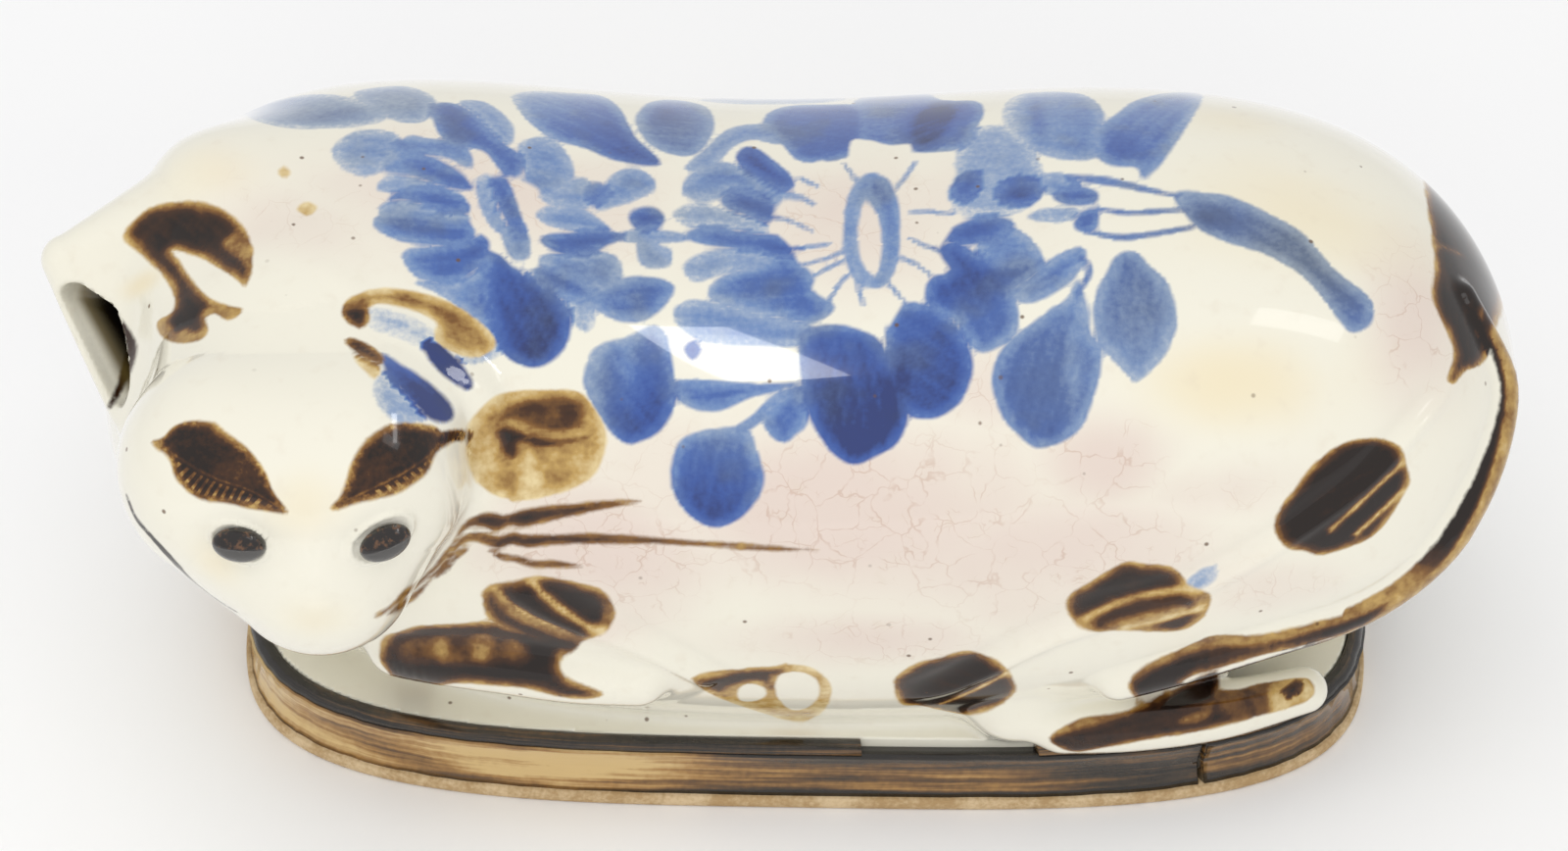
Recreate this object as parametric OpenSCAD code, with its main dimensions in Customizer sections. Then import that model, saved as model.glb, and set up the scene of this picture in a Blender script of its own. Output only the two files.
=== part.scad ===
// Ceramic cat pillow: a hollow, press-moulded cat lying on an oval plinth.
// The origin is on the table under the middle of the plinth, +X runs to the rump,
// -Y is the side the face looks to, and +Z is up. Millimetres.

/* [Body] */
// Length of the body, from the chest end to the rump
body_l = 274; // [230:1:320]
// Depth of the body, front to back, at the girth
body_w = 120; // [100:1:145]
// Height of the shoulders and hips above the table
body_h = 119.5; // [105:0.5:140]
// Height of the widest girth above the table
girth_z = 64; // [56:1:72]
// Depth below the table at which the belly's curve would close
keel_drop = 2; // [0:0.5:10]
// Dip of the back between the shoulders and the hips
saddle_dip = 8.5; // [0:0.5:12]
// Distance of the dip from the middle, towards the head
saddle_shift = 12; // [0:1:30]
// Reach of the dip along the back, to either side
saddle_reach = 55; // [35:1:80]
// Squareness of the body's sections, where 2 is an ellipse
body_square = 2.3; // [2:0.05:2.8]
// Bluntness of the rump above the girth
rump_blunt = 4.5; // [3.5:0.1:6]
// Bluntness of the chest end above the girth
chest_blunt = 6; // [4:0.1:8]
// Bluntness of the two ends below the girth, where they tuck under
tuck_blunt = 2.2; // [1.9:0.1:3]
// Thickness of the pressed clay wall
wall = 7; // [5:0.5:9]
// Radius of the relief lines along the haunch and the shoulder
line_r = 2.6; // [1.8:0.1:4]
// Depth to which a relief line is bedded in the shell
line_bed = 0.8; // [0.4:0.1:1.4]

/* [Plinth] */
// Length of the plinth
base_l = 226; // [200:1:260]
// Depth of the plinth, front to back
base_w = 108; // [96:1:130]
// Squareness of the plinth's outline, where 2 is an ellipse
base_square = 3.5; // [2.6:0.1:5]
// Thickness of the slab that closes the underside
slab_t = 3; // [2:0.5:5]
// Distance by which the slab stands out from under the band
slab_lip = 0.8; // [0.2:0.1:2]
// Thickness of the band at its two edges
band_t = 3.2; // [3:0.1:5]
// Hollow of the band's face between its edges
band_hollow = 0.9; // [0:0.1:1.5]
// Height of the band
band_h = 11; // [8:0.5:14]
// Width of the coil that lies on the band
coil_w = 2.8; // [1.8:0.1:3]
// Height of the coil
coil_h = 2.1; // [1:0.1:4]
// Step by which the coil stays below the plinth's white ledge
coil_step = 0.2; // [0.1:0.1:1]
// Gap between the two ends of the band
band_gap = 3; // [1:0.5:8]
// Position of the band's gap round the plinth, in degrees from the rump
band_joint = -58; // [-76:1:-30]
// Start of the coil, in degrees from the rump
coil_start = -78; // [-86:1:-62]
// End of the coil, in degrees from the rump
coil_end = 271; // [230:1:272]
// Width by which the plinth laps under the inside of the shells
plinth_lap = 4; // [2:0.5:8]

/* [Head] */
// Radius of each cheek
cheek_r = 21.5; // [18:0.5:24]
// Distance of the free cheek's middle from the middle of the face
cheek_out = 13.5; // [10:0.5:16]
// Distance by which the other cheek, against the shoulder, is nearer to the middle
cheek_tuck = 5.5; // [0:0.5:8]
// Distance of the face's middle from the chest end of the body
head_in = 45.5; // [41:0.5:54]
// Distance of the face's middle behind the front of the body
head_sink = 5.5; // [2:0.5:14]
// Distance of the face's middle below the shoulders
head_drop = 29; // [24:0.5:36]
// Radius of the crown, where the head rises to the shoulder
crown_r = 30; // [24:0.5:34]
// Distance of the crown's middle behind the face's middle
crown_back = 24; // [18:1:28]
// Distance of the crown's middle below the face's middle
crown_drop = 10.5; // [4:0.5:14]
// Distance of the crown's middle from the face's middle, towards the chest
crown_side = 4.5; // [0:0.5:8]
// Radius of the muzzle
muzzle_r = 18; // [15:0.5:20]
// Distance of the muzzle's middle in front of the face's middle
muzzle_out = 9; // [6:0.5:12]
// Distance of the muzzle's middle below the face's middle
muzzle_drop = 15; // [12:0.5:18]
// Turn of the face from straight ahead towards the rump, in degrees
face_turn = 14; // [0:1:20]
// Thickness of the head's wall
head_wall = 6; // [4.5:0.5:8]
// Bore of the neck between the head and the body
neck_bore = 30; // [20:1:36]

/* [Eyes] */
// Length of an eye bead
eye_l = 9.8; // [7:0.2:12]
// Height of an eye bead
eye_h = 6.6; // [5:0.2:9]
// Thickness of an eye bead, of which a part is bedded
eye_t = 6; // [4:0.2:8]
// Depth to which an eye bead is bedded in the head
eye_bed = 3; // [1.5:0.1:4]
// Distance of the eyes down the slope of the face, from where the cheeks swell most
eye_low = 5.3; // [2:0.1:8]
// Turn of each eye from the turn of the face, in degrees
eye_turn = 6; // [0:1:12]
// Slant of the eyes, inner corner down, in degrees
eye_slant = 14; // [0:1:30]

/* [Ears] */
// Radius of the open ear at its root
ear_root_r = 16; // [12:0.5:18]
// Radius of the swelling on the open ear's back
ear_bulge_r = 10.5; // [7:0.5:12]
// Radius of the open ear's tip and lower corner
ear_edge_r = 5; // [4:0.1:6]
// Radius of the open ear's mouth
ear_mouth_r = 2.8; // [2:0.1:3.5]
// Radius of the vent where it enters the body
ear_vent_r = 6; // [4:0.5:7]
// Radius of the folded ear's ridge
fold_r = 4.6; // [3:0.2:6]
// Depth to which the folded ear is bedded in the shoulder
fold_bed = 1.6; // [0.8:0.1:2.5]

/* [Limbs] */
// Radius of the foreleg at its middle
foreleg_r = 8.5; // [7:0.5:11]
// Depth to which the foreleg's middle lies inside the body
foreleg_bed = 3; // [1:0.5:5]
// Radius of the hind foot at its middle
foot_r = 6.5; // [5:0.5:8]
// Distance of the hind foot's middle line in from the plinth's edge
foot_inset = 2.4; // [1:0.2:6]
// Radius of the tail at its thickest
tail_r = 6; // [4.5:0.5:8]
// Depth to which the tail's middle lies inside the body
tail_bed = 2; // [0:0.5:3.5]
// Radius of the knee in front of the hind foot
knee_r = 8; // [6:0.5:10]

/* [Hidden] */

cream = "#efe8d8";
iron = "#4a2c1a";
amber = "#8a6335";
clay = "#c9ad86";

// Steps of the lofts and the round parts
body_steps = 32;
body_sides = 36;
hollow_steps = 22;
hollow_sides = 24;
head_sides = 32;
ear_sides = 28;
vent_sides = 20;
neck_sides = 48;
eye_steps = 8;
eye_sides = 16;
limb_sides = 12;
limb_steps = 4;
line_sides = 10;
line_steps = 5;
cap_turns = [30, 60];
oval_steps = 84;
coil_turn = 18;

// Places along the body, as shares of its half length, between which its two ends lie
chest_end = 0;
rump_start = 0.25;

// Reach beyond every piece, and the overrun of a cut
far = 400;
over = 1;

// Places of the face's middle, the crown and the muzzle, and the slope from the cheeks to the muzzle
head_c = [head_in - body_l / 2, head_sink - body_w / 2, body_h - head_drop];
crown_c = head_c + [-crown_side, crown_back, -crown_drop];
muzzle_ahead = muzzle_out * cos(face_turn);
muzzle_c = head_c + [muzzle_out * sin(face_turn), -muzzle_ahead, -muzzle_drop];
face_slope = 90 - atan2(muzzle_drop, muzzle_ahead)
    - asin((cheek_r - muzzle_r) / norm([muzzle_ahead, muzzle_drop]));

// Places on the body are [share of the half length, degrees round the girth, radius share].
// Round the girth 90 is the back's ridge, 180 the front and 270 the belly.
tail_stations = [[0.9, 102, 0.45], [0.955, 128, 0.7], [0.94, 160, 0.85], [0.89, 180, 0.95],
    [0.79, 193, 0.95], [0.64, 195, 0.95], [0.52, 199, 1], [0.44, 203, 0.95]];
foreleg_stations = [[-0.24, 201, 0.85], [-0.33, 200, 1], [-0.43, 199, 1], [-0.52, 200, 0.95],
    [-0.575, 203, 0.8]];
haunch_stations = [[0.14, 207, 1], [0.24, 196, 1], [0.35, 186, 1], [0.53, 178, 1], [0.71, 162, 1],
    [0.8, 149, 1], [0.89, 130, 0.8]];
shoulder_stations = [[-0.41, 178, 0.7], [-0.33, 184, 1], [-0.22, 191, 1], [-0.12, 201, 0.8]];
// The folded ear lies beside the head, so its places begin with a distance from the face's middle,
// as a share of the crown's radius
fold_places = [[0.04, 114, 0.4], [0.45, 125, 0.9], [0.72, 131, 1], [0.95, 137, 0.95], [1.13, 143, 0.5]];
fold_stations = [for (p = fold_places) [(head_c.x + p[0] * crown_r) / (body_l / 2), p[1], p[2]]];
// Places on the plinth are [share of its half length, rise above the ledge as a radius share, radius share]
foot_stations = [[0.44, 0.8, 0.85], [0.56, 0.95, 1], [0.71, 0.9, 0.92], [0.86, 0.7, 0.75]];

// Places of the open ear's balls and of its passage, from the middle of the crown
ear_root = crown_c + crown_r * [-0.55, 1.12, 0.68];
ear_bulge = crown_c + crown_r * [-1.05, 0.84, 0.46];
ear_tip = crown_c + crown_r * [-1.48, 0.73, 0.67];
ear_low = crown_c + crown_r * [-1.05, 0.1, 0.03];
mouth_top = crown_c + crown_r * [-1.38, 0.53, 0.55];
mouth_low = crown_c + crown_r * [-1.08, 0.1, 0.17];
mouth_out = crown_r * [-0.17, -0.23, 0.1];
vent = crown_c + crown_r * [-0.7, 0.63, 0.2];

// Place of the knee, as shares of the plinth's half sizes and of the girth's height
knee_place = [0.36, -0.87, 0.38];

// Heights of the band's hollow between its edges, as shares of its height, and the coil's roundness
hollow_low = 0.3;
hollow_high = 0.75;
coil_round = 0.8;

// Sizes that follow from the driving dimensions
keel_z = -keel_drop;
band_top = slab_t + band_h;
ledge_z = band_top + coil_h + coil_step;
rim_fall = (girth_z - ledge_z) / (girth_z - keel_z);
rim_half_w = body_w / 2 * pow(1 - pow(rim_fall, body_square), 1 / body_square);
rim_half_l = body_l / 2 * pow(1 - rim_fall * rim_fall, 1 / tuck_blunt);
base_half = [base_l / 2, base_w / 2];
plinth_half = base_half - [slab_lip + band_t, slab_lip + band_t];
lap = wall + plinth_lap;
hole_half = [min(rim_half_l, plinth_half.x) - lap, min(rim_half_w, plinth_half.y) - lap];

function signed_pow(v, e) = sign(v) * pow(abs(v), e);
function unit(v) = v / norm(v);
function mean(points) = [for (i = [0 : len(points) - 1]) 1] * points / len(points);

// Closed surface through rings that run anticlockwise about the way they follow, with a point at each end
module skin(rings, first, last) {
    sides = len(rings[0]);
    count = len(rings);
    points = concat([first], [for (r = rings) each r], [last]);
    function at(i, k) = 1 + i * sides + k % sides;
    faces = concat(
        [for (k = [0 : sides - 1]) [0, at(0, k), at(0, k + 1)]],
        [for (i = [0 : count - 2], k = [0 : sides - 1]) [at(i, k), at(i + 1, k), at(i + 1, k + 1)]],
        [for (i = [0 : count - 2], k = [0 : sides - 1]) [at(i, k), at(i + 1, k + 1), at(i, k + 1)]],
        [for (k = [0 : sides - 1]) [len(points) - 1, at(count - 1, k + 1), at(count - 1, k)]]
    );
    polyhedron(points, faces, convexity = 6);
}

// Share of the girth that is left at a place along the body
function end_share(x, blunt) = sqrt(max(0, 1 - pow(abs(x), blunt)));
function dip_at(x) = saddle_dip * exp(-pow((x * body_l / 2 + saddle_shift) / saddle_reach, 2));

// Point of the body's outside, grown outwards by a distance
function body_point(x, a, grow = 0) =
    let (
        above = sin(a) >= 0,
        crown = end_share(x, x < 0 ? chest_blunt : rump_blunt),
        tuck = end_share(x, tuck_blunt),
        side = above ? crown : crown + (tuck - crown) * abs(sin(a)),
        rise = above ? (body_h - girth_z + grow) * crown - dip_at(x) : (girth_z - keel_z + grow) * tuck
    )
    [
        (body_l / 2 + grow) * x,
        (body_w / 2 + grow) * side * signed_pow(cos(a), 2 / body_square),
        girth_z + rise * signed_pow(sin(a), 2 / body_square)
    ];

// Body grown outwards by a distance, or the stretch of it between two places along its length
module body_form(grow = 0, steps = body_steps, sides = body_sides, from = -1, to = 1) {
    places = [for (i = [1 : steps - 1]) let (x = -cos(180 * i / steps)) if (x >= from && x <= to) x];
    rings = [for (x = places) [for (k = [0 : sides - 1]) body_point(x, 360 * k / sides, grow)]];
    first = from > -1 ? mean(rings[0]) : body_point(-1, 0, grow);
    last = to < 1 ? mean(rings[len(rings) - 1]) : body_point(1, 0, grow);
    skin(rings, first, last);
}

// Middle of the free cheek, at side -1, and of the cheek against the shoulder
function cheek_c(side) = head_c + [side < 0 ? -cheek_out : cheek_out - cheek_tuck, 0, 0];

// Head grown outwards by a distance, drawn over the cheeks, the crown and the muzzle
module head_form(grow = 0) {
    hull() {
        for (side = [-1, 1]) translate(cheek_c(side)) sphere(cheek_r + grow, $fn = head_sides);
        translate(crown_c) sphere(crown_r + grow, $fn = head_sides);
        translate(muzzle_c) sphere(muzzle_r + grow, $fn = head_sides);
    }
}

// Smooth run through rows of numbers
function run_between(p, i, u) =
    let (a = p[max(i - 1, 0)], b = p[i], c = p[i + 1], d = p[min(i + 2, len(p) - 1)])
    0.5 * (2 * b + (c - a) * u + (2 * a - 5 * b + 4 * c - d) * u * u + (3 * b - a - 3 * c + d) * u * u * u);
function smooth_run(p, steps) =
    [for (i = [0 : len(p) - 2], k = [0 : steps - 1]) run_between(p, i, k / steps), p[len(p) - 1]];
function place(row) = [row[0], row[1], row[2]];
function way_at(run, i) = unit(place(run[min(i + 1, len(run) - 1)]) - place(run[max(i - 1, 0)]));
function ring_at(c, way, r, sides) =
    let (side = unit(cross(way, [0, 0, 1])), up = cross(way, side))
    [for (k = [0 : sides - 1]) c + r * (cos(360 * k / sides) * side + sin(360 * k / sides) * up)];

// Rings of a limb's round end, turned out from its last row
function cap_rings(row, way, turns, sides) =
    [for (a = turns) ring_at(place(row) + way * row[3] * sin(a), way, row[3] * cos(a), sides)];

// Limb with round ends, swept along rows of x, y, z and radius
module limb(run, sides = limb_sides) {
    n = len(run) - 1;
    start = way_at(run, 0);
    end = way_at(run, n);
    rings = concat(
        cap_rings(run[0], start, [-cap_turns[1], -cap_turns[0]], sides),
        [for (i = [0 : n]) ring_at(place(run[i]), way_at(run, i), run[i][3], sides)],
        cap_rings(run[n], end, cap_turns, sides)
    );
    skin(rings, place(run[0]) - start * run[0][3], place(run[n]) + end * run[n][3]);
}

// Rows of a limb that lies on the body, bedded in it by a distance
function on_body(stations, r, bed = 0, steps = limb_steps) =
    [for (s = smooth_run(stations, steps)) [each body_point(s[0], s[1], -bed * s[2]), r * s[2]]];

// Plinth outline, and its front edge at a place along it
function oval_point(half, a) =
    [half.x * signed_pow(cos(a), 2 / base_square), half.y * signed_pow(sin(a), 2 / base_square)];
function oval_edge(half, x) = -half.y * pow(1 - pow(abs(x / half.x), base_square), 1 / base_square);

module oval_plate(half, height) {
    linear_extrude(height) polygon([for (k = [0 : oval_steps - 1]) oval_point(half, 360 * k / oval_steps)]);
}

// Strip with a profile of [distance out, height], swept round the plinth
module oval_strip(half, profile, from, to) {
    steps = round(oval_steps * (to - from) / 360);
    rings = [for (i = [0 : steps]) let (a = from + (to - from) * i / steps)
        [for (p = profile) [each oval_point(half + [p.x, p.x], a), p.y]]];
    skin(rings, mean(rings[0]), mean(rings[steps]));
}

// Everything below the ledge
module below_ledge() {
    translate([-far, -far, ledge_z - 2 * far]) cube(2 * far);
}

// Hollow that the two pressed shells close
module hollow() {
    body_form(-wall, hollow_steps, hollow_sides);
}

// Knee that swells from the front of the body before the hind foot
module knee() {
    translate([for (i = [0 : 2]) knee_place[i] * [base_half.x, base_half.y, girth_z][i]])
        sphere(knee_r, $fn = ear_sides);
}

// Passage from the open ear's mouth into the hollow
module ear_vent() {
    hull() {
        for (p = [mouth_top, mouth_low, mouth_top + mouth_out, mouth_low + mouth_out])
            translate(p) sphere(ear_mouth_r, $fn = vent_sides);
        translate(vent) sphere(ear_vent_r, $fn = vent_sides);
    }
}

module base_slab() {
    color(clay) oval_plate(base_half, slab_t);
}

module plinth_ring() {
    color(cream) translate([0, 0, slab_t]) difference() {
        oval_plate(plinth_half, ledge_z - slab_t);
        translate([0, 0, -over]) oval_plate(hole_half, ledge_z - slab_t + 2 * over);
    }
}

module foot_band() {
    run_per_degree = norm(oval_point(plinth_half, band_joint + 1) - oval_point(plinth_half, band_joint));
    half_gap = band_gap / 2 / run_per_degree;
    face = band_t - band_hollow;
    profile = [[0, slab_t], [0, band_top], [band_t, band_top], [face, slab_t + band_h * hollow_high],
        [face, slab_t + band_h * hollow_low], [band_t, slab_t]];
    color(amber) oval_strip(plinth_half, profile, band_joint + half_gap, band_joint + 360 - half_gap);
}

module rim_coil() {
    round_edge = [for (a = [90 : -coil_turn : 0])
        [coil_w * signed_pow(cos(a), coil_round), band_top + coil_h * signed_pow(sin(a), coil_round)]];
    color(iron) oval_strip(plinth_half, concat([[0, band_top]], round_edge), coil_start, coil_end);
}

module front_shell() {
    color(cream) difference() {
        union() {
            body_form();
            limb(on_body(haunch_stations, line_r, line_bed, line_steps), line_sides);
            limb(on_body(shoulder_stations, line_r, line_bed, line_steps), line_sides);
            knee();
        }
        hollow();
        translate([-far, 0, -far]) cube(2 * far);
        below_ledge();
        translate([crown_c.x, -body_w / 2, crown_c.z]) rotate([-90, 0, 0])
            cylinder(d = neck_bore, h = body_w / 2 - over, $fn = neck_sides);
        ear_vent();
    }
}

module back_shell() {
    color(cream) difference() {
        body_form();
        hollow();
        translate([-far, -2 * far, -far]) cube(2 * far);
        below_ledge();
    }
}

module head() {
    color(cream) difference() {
        head_form();
        head_form(-head_wall);
        body_form(to = chest_end);
        ear_vent();
    }
}

module open_ear() {
    color(cream) difference() {
        hull() {
            translate(ear_root) sphere(ear_root_r, $fn = ear_sides);
            translate(ear_bulge) sphere(ear_bulge_r, $fn = ear_sides);
            for (p = [ear_tip, ear_low]) translate(p) sphere(ear_edge_r, $fn = ear_sides);
        }
        ear_vent();
        body_form(to = chest_end);
        head_form();
    }
}

module folded_ear() {
    color(cream) difference() {
        limb(on_body(fold_stations, fold_r, fold_bed));
        body_form(to = chest_end);
        head_form();
    }
}

// Eye bead set on the slope of the face below one of the cheeks
module eye(side) {
    rings = [for (i = [1 : eye_steps - 1]) let (a = 180 * i / eye_steps - 90)
        [for (k = [0 : eye_sides - 1]) let (b = 360 * k / eye_sides)
            [eye_t / 2 * cos(a) * cos(b), eye_l / 2 * cos(a) * sin(b), eye_h / 2 * sin(a)]]];
    color(iron) difference() {
        translate(cheek_c(side)) rotate([0, -face_slope, face_turn + side * eye_turn - 90])
            translate([cheek_r + eye_t / 2 - eye_bed, 0, -eye_low]) rotate([side * eye_slant, 0, 0])
                skin(rings, [0, 0, -eye_h / 2], [0, 0, eye_h / 2]);
        head_form();
    }
}

module left_eye() {
    eye(-1);
}

module right_eye() {
    eye(1);
}

module foreleg() {
    color(iron) difference() {
        limb(on_body(foreleg_stations, foreleg_r, foreleg_bed));
        body_form(to = chest_end);
        head_form();
        below_ledge();
    }
}

module hind_foot() {
    rows = [for (s = foot_stations) let (x = s[0] * base_half.x)
        [x, oval_edge(base_half, x) + foot_inset, ledge_z + foot_r * s[1], foot_r * s[2]]];
    color(iron) difference() {
        limb(smooth_run(rows, limb_steps));
        body_form(from = rump_start);
        knee();
        below_ledge();
    }
}

module tail() {
    color(iron) difference() {
        limb(on_body(tail_stations, tail_r, tail_bed));
        body_form(from = rump_start);
        hind_foot();
        below_ledge();
    }
}

base_slab();
plinth_ring();
foot_band();
rim_coil();
front_shell();
back_shell();
head();
open_ear();
folded_ear();
left_eye();
right_eye();
foreleg();
hind_foot();
tail();
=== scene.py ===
"""A hollow ceramic cat pillow, dressed over its packed clay pieces: the smooth fired skin, the bead eyes, the plinth's
band and coil, and the cobalt flowers, iron-brown spots and crackle under its glaze."""
import math

import bpy
import numpy as np
from mathutils import Matrix, Vector


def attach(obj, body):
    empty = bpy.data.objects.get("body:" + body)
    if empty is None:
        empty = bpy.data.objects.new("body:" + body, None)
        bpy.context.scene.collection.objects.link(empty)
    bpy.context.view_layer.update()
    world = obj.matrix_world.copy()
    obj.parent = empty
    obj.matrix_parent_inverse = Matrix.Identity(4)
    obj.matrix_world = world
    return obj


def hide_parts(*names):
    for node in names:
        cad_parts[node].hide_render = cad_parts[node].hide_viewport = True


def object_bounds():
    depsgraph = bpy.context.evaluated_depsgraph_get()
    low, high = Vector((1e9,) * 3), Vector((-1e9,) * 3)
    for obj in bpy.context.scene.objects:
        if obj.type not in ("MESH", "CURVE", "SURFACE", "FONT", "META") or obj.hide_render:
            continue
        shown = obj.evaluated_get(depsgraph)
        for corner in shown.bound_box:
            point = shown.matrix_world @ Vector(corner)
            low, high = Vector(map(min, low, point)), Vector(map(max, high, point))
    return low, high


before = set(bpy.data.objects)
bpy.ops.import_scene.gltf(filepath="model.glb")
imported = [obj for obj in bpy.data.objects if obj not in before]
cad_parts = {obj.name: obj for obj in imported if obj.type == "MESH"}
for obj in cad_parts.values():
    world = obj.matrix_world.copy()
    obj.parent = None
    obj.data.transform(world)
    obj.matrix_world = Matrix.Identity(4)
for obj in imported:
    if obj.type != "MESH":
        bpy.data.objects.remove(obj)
cad_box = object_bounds()

MM = 0.001

# The photograph's camera, in millimetres and in pixels of its 1600 by 868 frame
VIEW_W, VIEW_H = 1600, 868
VIEW_AIM = np.array([-5.0, -4.0, 56.0])
VIEW_DISTANCE = 900.0
VIEW_RISE = math.radians(43.0)
VIEW_ROLL = math.radians(0.9)
VIEW_FOCAL = 4700.0
SENSOR = 36.0


def turned(a, b, angle):
    """Two directions at right angles, or a place along them, turned by an angle."""
    return a * math.cos(angle) + b * math.sin(angle), b * math.cos(angle) - a * math.sin(angle)


view_back = np.array([0.0, -math.cos(VIEW_RISE), math.sin(VIEW_RISE)])
level = np.array([1.0, 0.0, 0.0])
view_right, view_up = turned(level, np.cross(view_back, level), VIEW_ROLL)
view_eye = VIEW_AIM + VIEW_DISTANCE * view_back

# Sizes of the clay pieces, the same as in the part's source
BODY_L, BODY_W, BODY_H = 274.0, 120.0, 119.5
GIRTH_Z, KEEL_Z = 64.0, -2.0
SADDLE_DIP, SADDLE_SHIFT, SADDLE_REACH = 8.5, 12.0, 55.0
BODY_SQUARE, RUMP_BLUNT, CHEST_BLUNT, TUCK_BLUNT = 2.3, 4.5, 6.0, 2.2
BASE_L, BASE_W, BASE_SQUARE = 226.0, 108.0, 3.5
SLAB_T, SLAB_LIP = 3.0, 0.8
BAND_T, BAND_HOLLOW, BAND_H, BAND_GAP, BAND_JOINT = 3.2, 0.9, 11.0, 3.0, -58.0
COIL_W, COIL_H, COIL_STEP, COIL_START, COIL_END, COIL_ROUND = 2.8, 2.1, 0.2, -78.0, 271.0, 0.8
BAND_TOP = SLAB_T + BAND_H
LEDGE_Z = BAND_TOP + COIL_H + COIL_STEP
CHEEK_R, CROWN_R, MUZZLE_R = 21.5, 30.0, 18.0
CHEEK_OUT, CHEEK_TUCK = 13.5, 5.5
MUZZLE_OUT, MUZZLE_DROP = 9.0, 15.0
FACE_TURN = math.radians(14.0)
HEAD_C = np.array([45.5 - BODY_L / 2, 5.5 - BODY_W / 2, BODY_H - 29.0])
CROWN_C = HEAD_C + [-4.5, 24.0, -10.5]
CHEEK_C = {-1: HEAD_C - [CHEEK_OUT, 0.0, 0.0], 1: HEAD_C + [CHEEK_OUT - CHEEK_TUCK, 0.0, 0.0]}
MUZZLE_AHEAD = MUZZLE_OUT * math.cos(FACE_TURN)
MUZZLE_C = HEAD_C + [MUZZLE_OUT * math.sin(FACE_TURN), -MUZZLE_AHEAD, -MUZZLE_DROP]
FACE_SLOPE = math.pi / 2 - math.atan2(MUZZLE_DROP, MUZZLE_AHEAD) \
    - math.asin((CHEEK_R - MUZZLE_R) / math.hypot(MUZZLE_AHEAD, MUZZLE_DROP))
EYE_L, EYE_H, EYE_T, EYE_BED, EYE_LOW = 9.8, 6.6, 6.0, 3.0, 5.3
EYE_TURN, EYE_SLANT = math.radians(6.0), math.radians(14.0)
HEAD_BALLS = [[*CHEEK_C[-1], CHEEK_R], [*CHEEK_C[1], CHEEK_R], [*CROWN_C, CROWN_R], [*MUZZLE_C, MUZZLE_R]]
# The middle from which places on the face are reckoned, and the radius that turns angles into millimetres
FACE_C, FACE_R = CROWN_C - [0.0, 20.0, 0.0], 31.5


def on_crown(rows):
    """Balls at places in crown radii from the middle of the crown."""
    return [[*(CROWN_C + CROWN_R * np.array(place)), r] for place, r in rows]


EAR_BALLS = on_crown([([-0.55, 1.12, 0.68], 16.0), ([-1.05, 0.84, 0.46], 10.5), ([-1.48, 0.73, 0.67], 5.0),
                      ([-1.05, 0.1, 0.03], 5.0)])
# The slit of the open ear, drawn narrower than in the clay because glaze lines it
VENT_BALLS = on_crown([([-1.38, 0.53, 0.55], 2.8), ([-1.08, 0.1, 0.17], 2.8), ([-1.55, 0.3, 0.65], 2.8),
                       ([-1.25, -0.13, 0.27], 2.8), ([-0.7, 0.63, 0.2], 3.4)])
FOLD_R, FOLD_BED = 4.6, 1.6
FORELEG_R, FORELEG_BED = 8.5, 3.0
FOOT_R, FOOT_INSET = 6.5, 2.4
TAIL_R, TAIL_BED = 6.0, 2.0
KNEE_R, KNEE, KNEE_STRETCH = 8.0, np.array([40.7, -47.0, 24.3]), np.array([0.8, 1.0, 1.0])

# Places on the body: share of the half length, degrees round the girth, share of the radius
TAIL = [[0.9, 102, 0.45], [0.955, 128, 0.7], [0.94, 160, 0.85], [0.89, 180, 0.95],
        [0.79, 193, 0.95], [0.64, 195, 0.95], [0.52, 199, 1], [0.44, 203, 0.95]]
FORELEG = [[-0.24, 201, 0.85], [-0.33, 200, 1], [-0.43, 199, 1], [-0.52, 200, 0.95], [-0.575, 203, 0.8]]
HAUNCH = [[0.14, 207, 1], [0.24, 196, 1], [0.35, 186, 1], [0.53, 178, 1], [0.71, 162, 1], [0.8, 149, 1],
          [0.89, 130, 0.8]]
SHOULDER = [[-0.41, 178, 0.7], [-0.33, 184, 1], [-0.22, 191, 1], [-0.12, 201, 0.8]]
FOLD = [[(HEAD_C[0] + share * CROWN_R) / (BODY_L / 2), degrees, k] for share, degrees, k in (
    (0.04, 114, 0.4), (0.45, 125, 0.9), (0.72, 131, 1), (0.95, 137, 0.95), (1.13, 143, 0.5))]
# Places on the plinth: share of its half length, rise above the ledge in radii, share of the radius
FOOT = [[0.44, 0.8, 0.85], [0.56, 0.95, 1], [0.71, 0.9, 0.92], [0.86, 0.7, 0.75]]

# A gap that stands for "not near", and the steps in which clay, brush strokes and washes go from one place to the next
FAR = 1e3
CLAY_STEPS, BRUSH_STEPS, WASH_STEPS = 6, 4, 3


def signed_pow(v, e):
    return np.sign(v) * np.abs(v) ** e


def ramp_up(low, high, v):
    """Smooth rise from 0 at low to 1 at high, or a fall where low is the larger."""
    t = np.clip((v - low) / (high - low), 0.0, 1.0)
    return t * t * (3 - 2 * t)


def smooth_run(rows, steps, closed=False):
    """A smooth run through rows of numbers, which may close on itself."""
    p = np.asarray(rows, float)
    p = np.vstack([p[-1:], p, p[:2]]) if closed else np.vstack([p[:1], p, p[-1:]])
    out = []
    for a, b, c, d in zip(p[:-3], p[1:-2], p[2:-1], p[3:]):
        for u in np.arange(steps) / steps:
            out.append(0.5 * (2 * b + (c - a) * u + (2 * a - 5 * b + 4 * c - d) * u ** 2
                              + (3 * b - a - 3 * c + d) * u ** 3))
    return np.array(out if closed else out + [p[-1]])


# The body: its outside at a place, its signed distance, and the unrolled coordinates that the paint uses

def end_share(x, blunt):
    return np.sqrt(np.maximum(0.0, 1 - np.abs(x) ** blunt))


def crown_share(x):
    return end_share(x, np.where(np.asarray(x) < 0, CHEST_BLUNT, RUMP_BLUNT))


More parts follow.
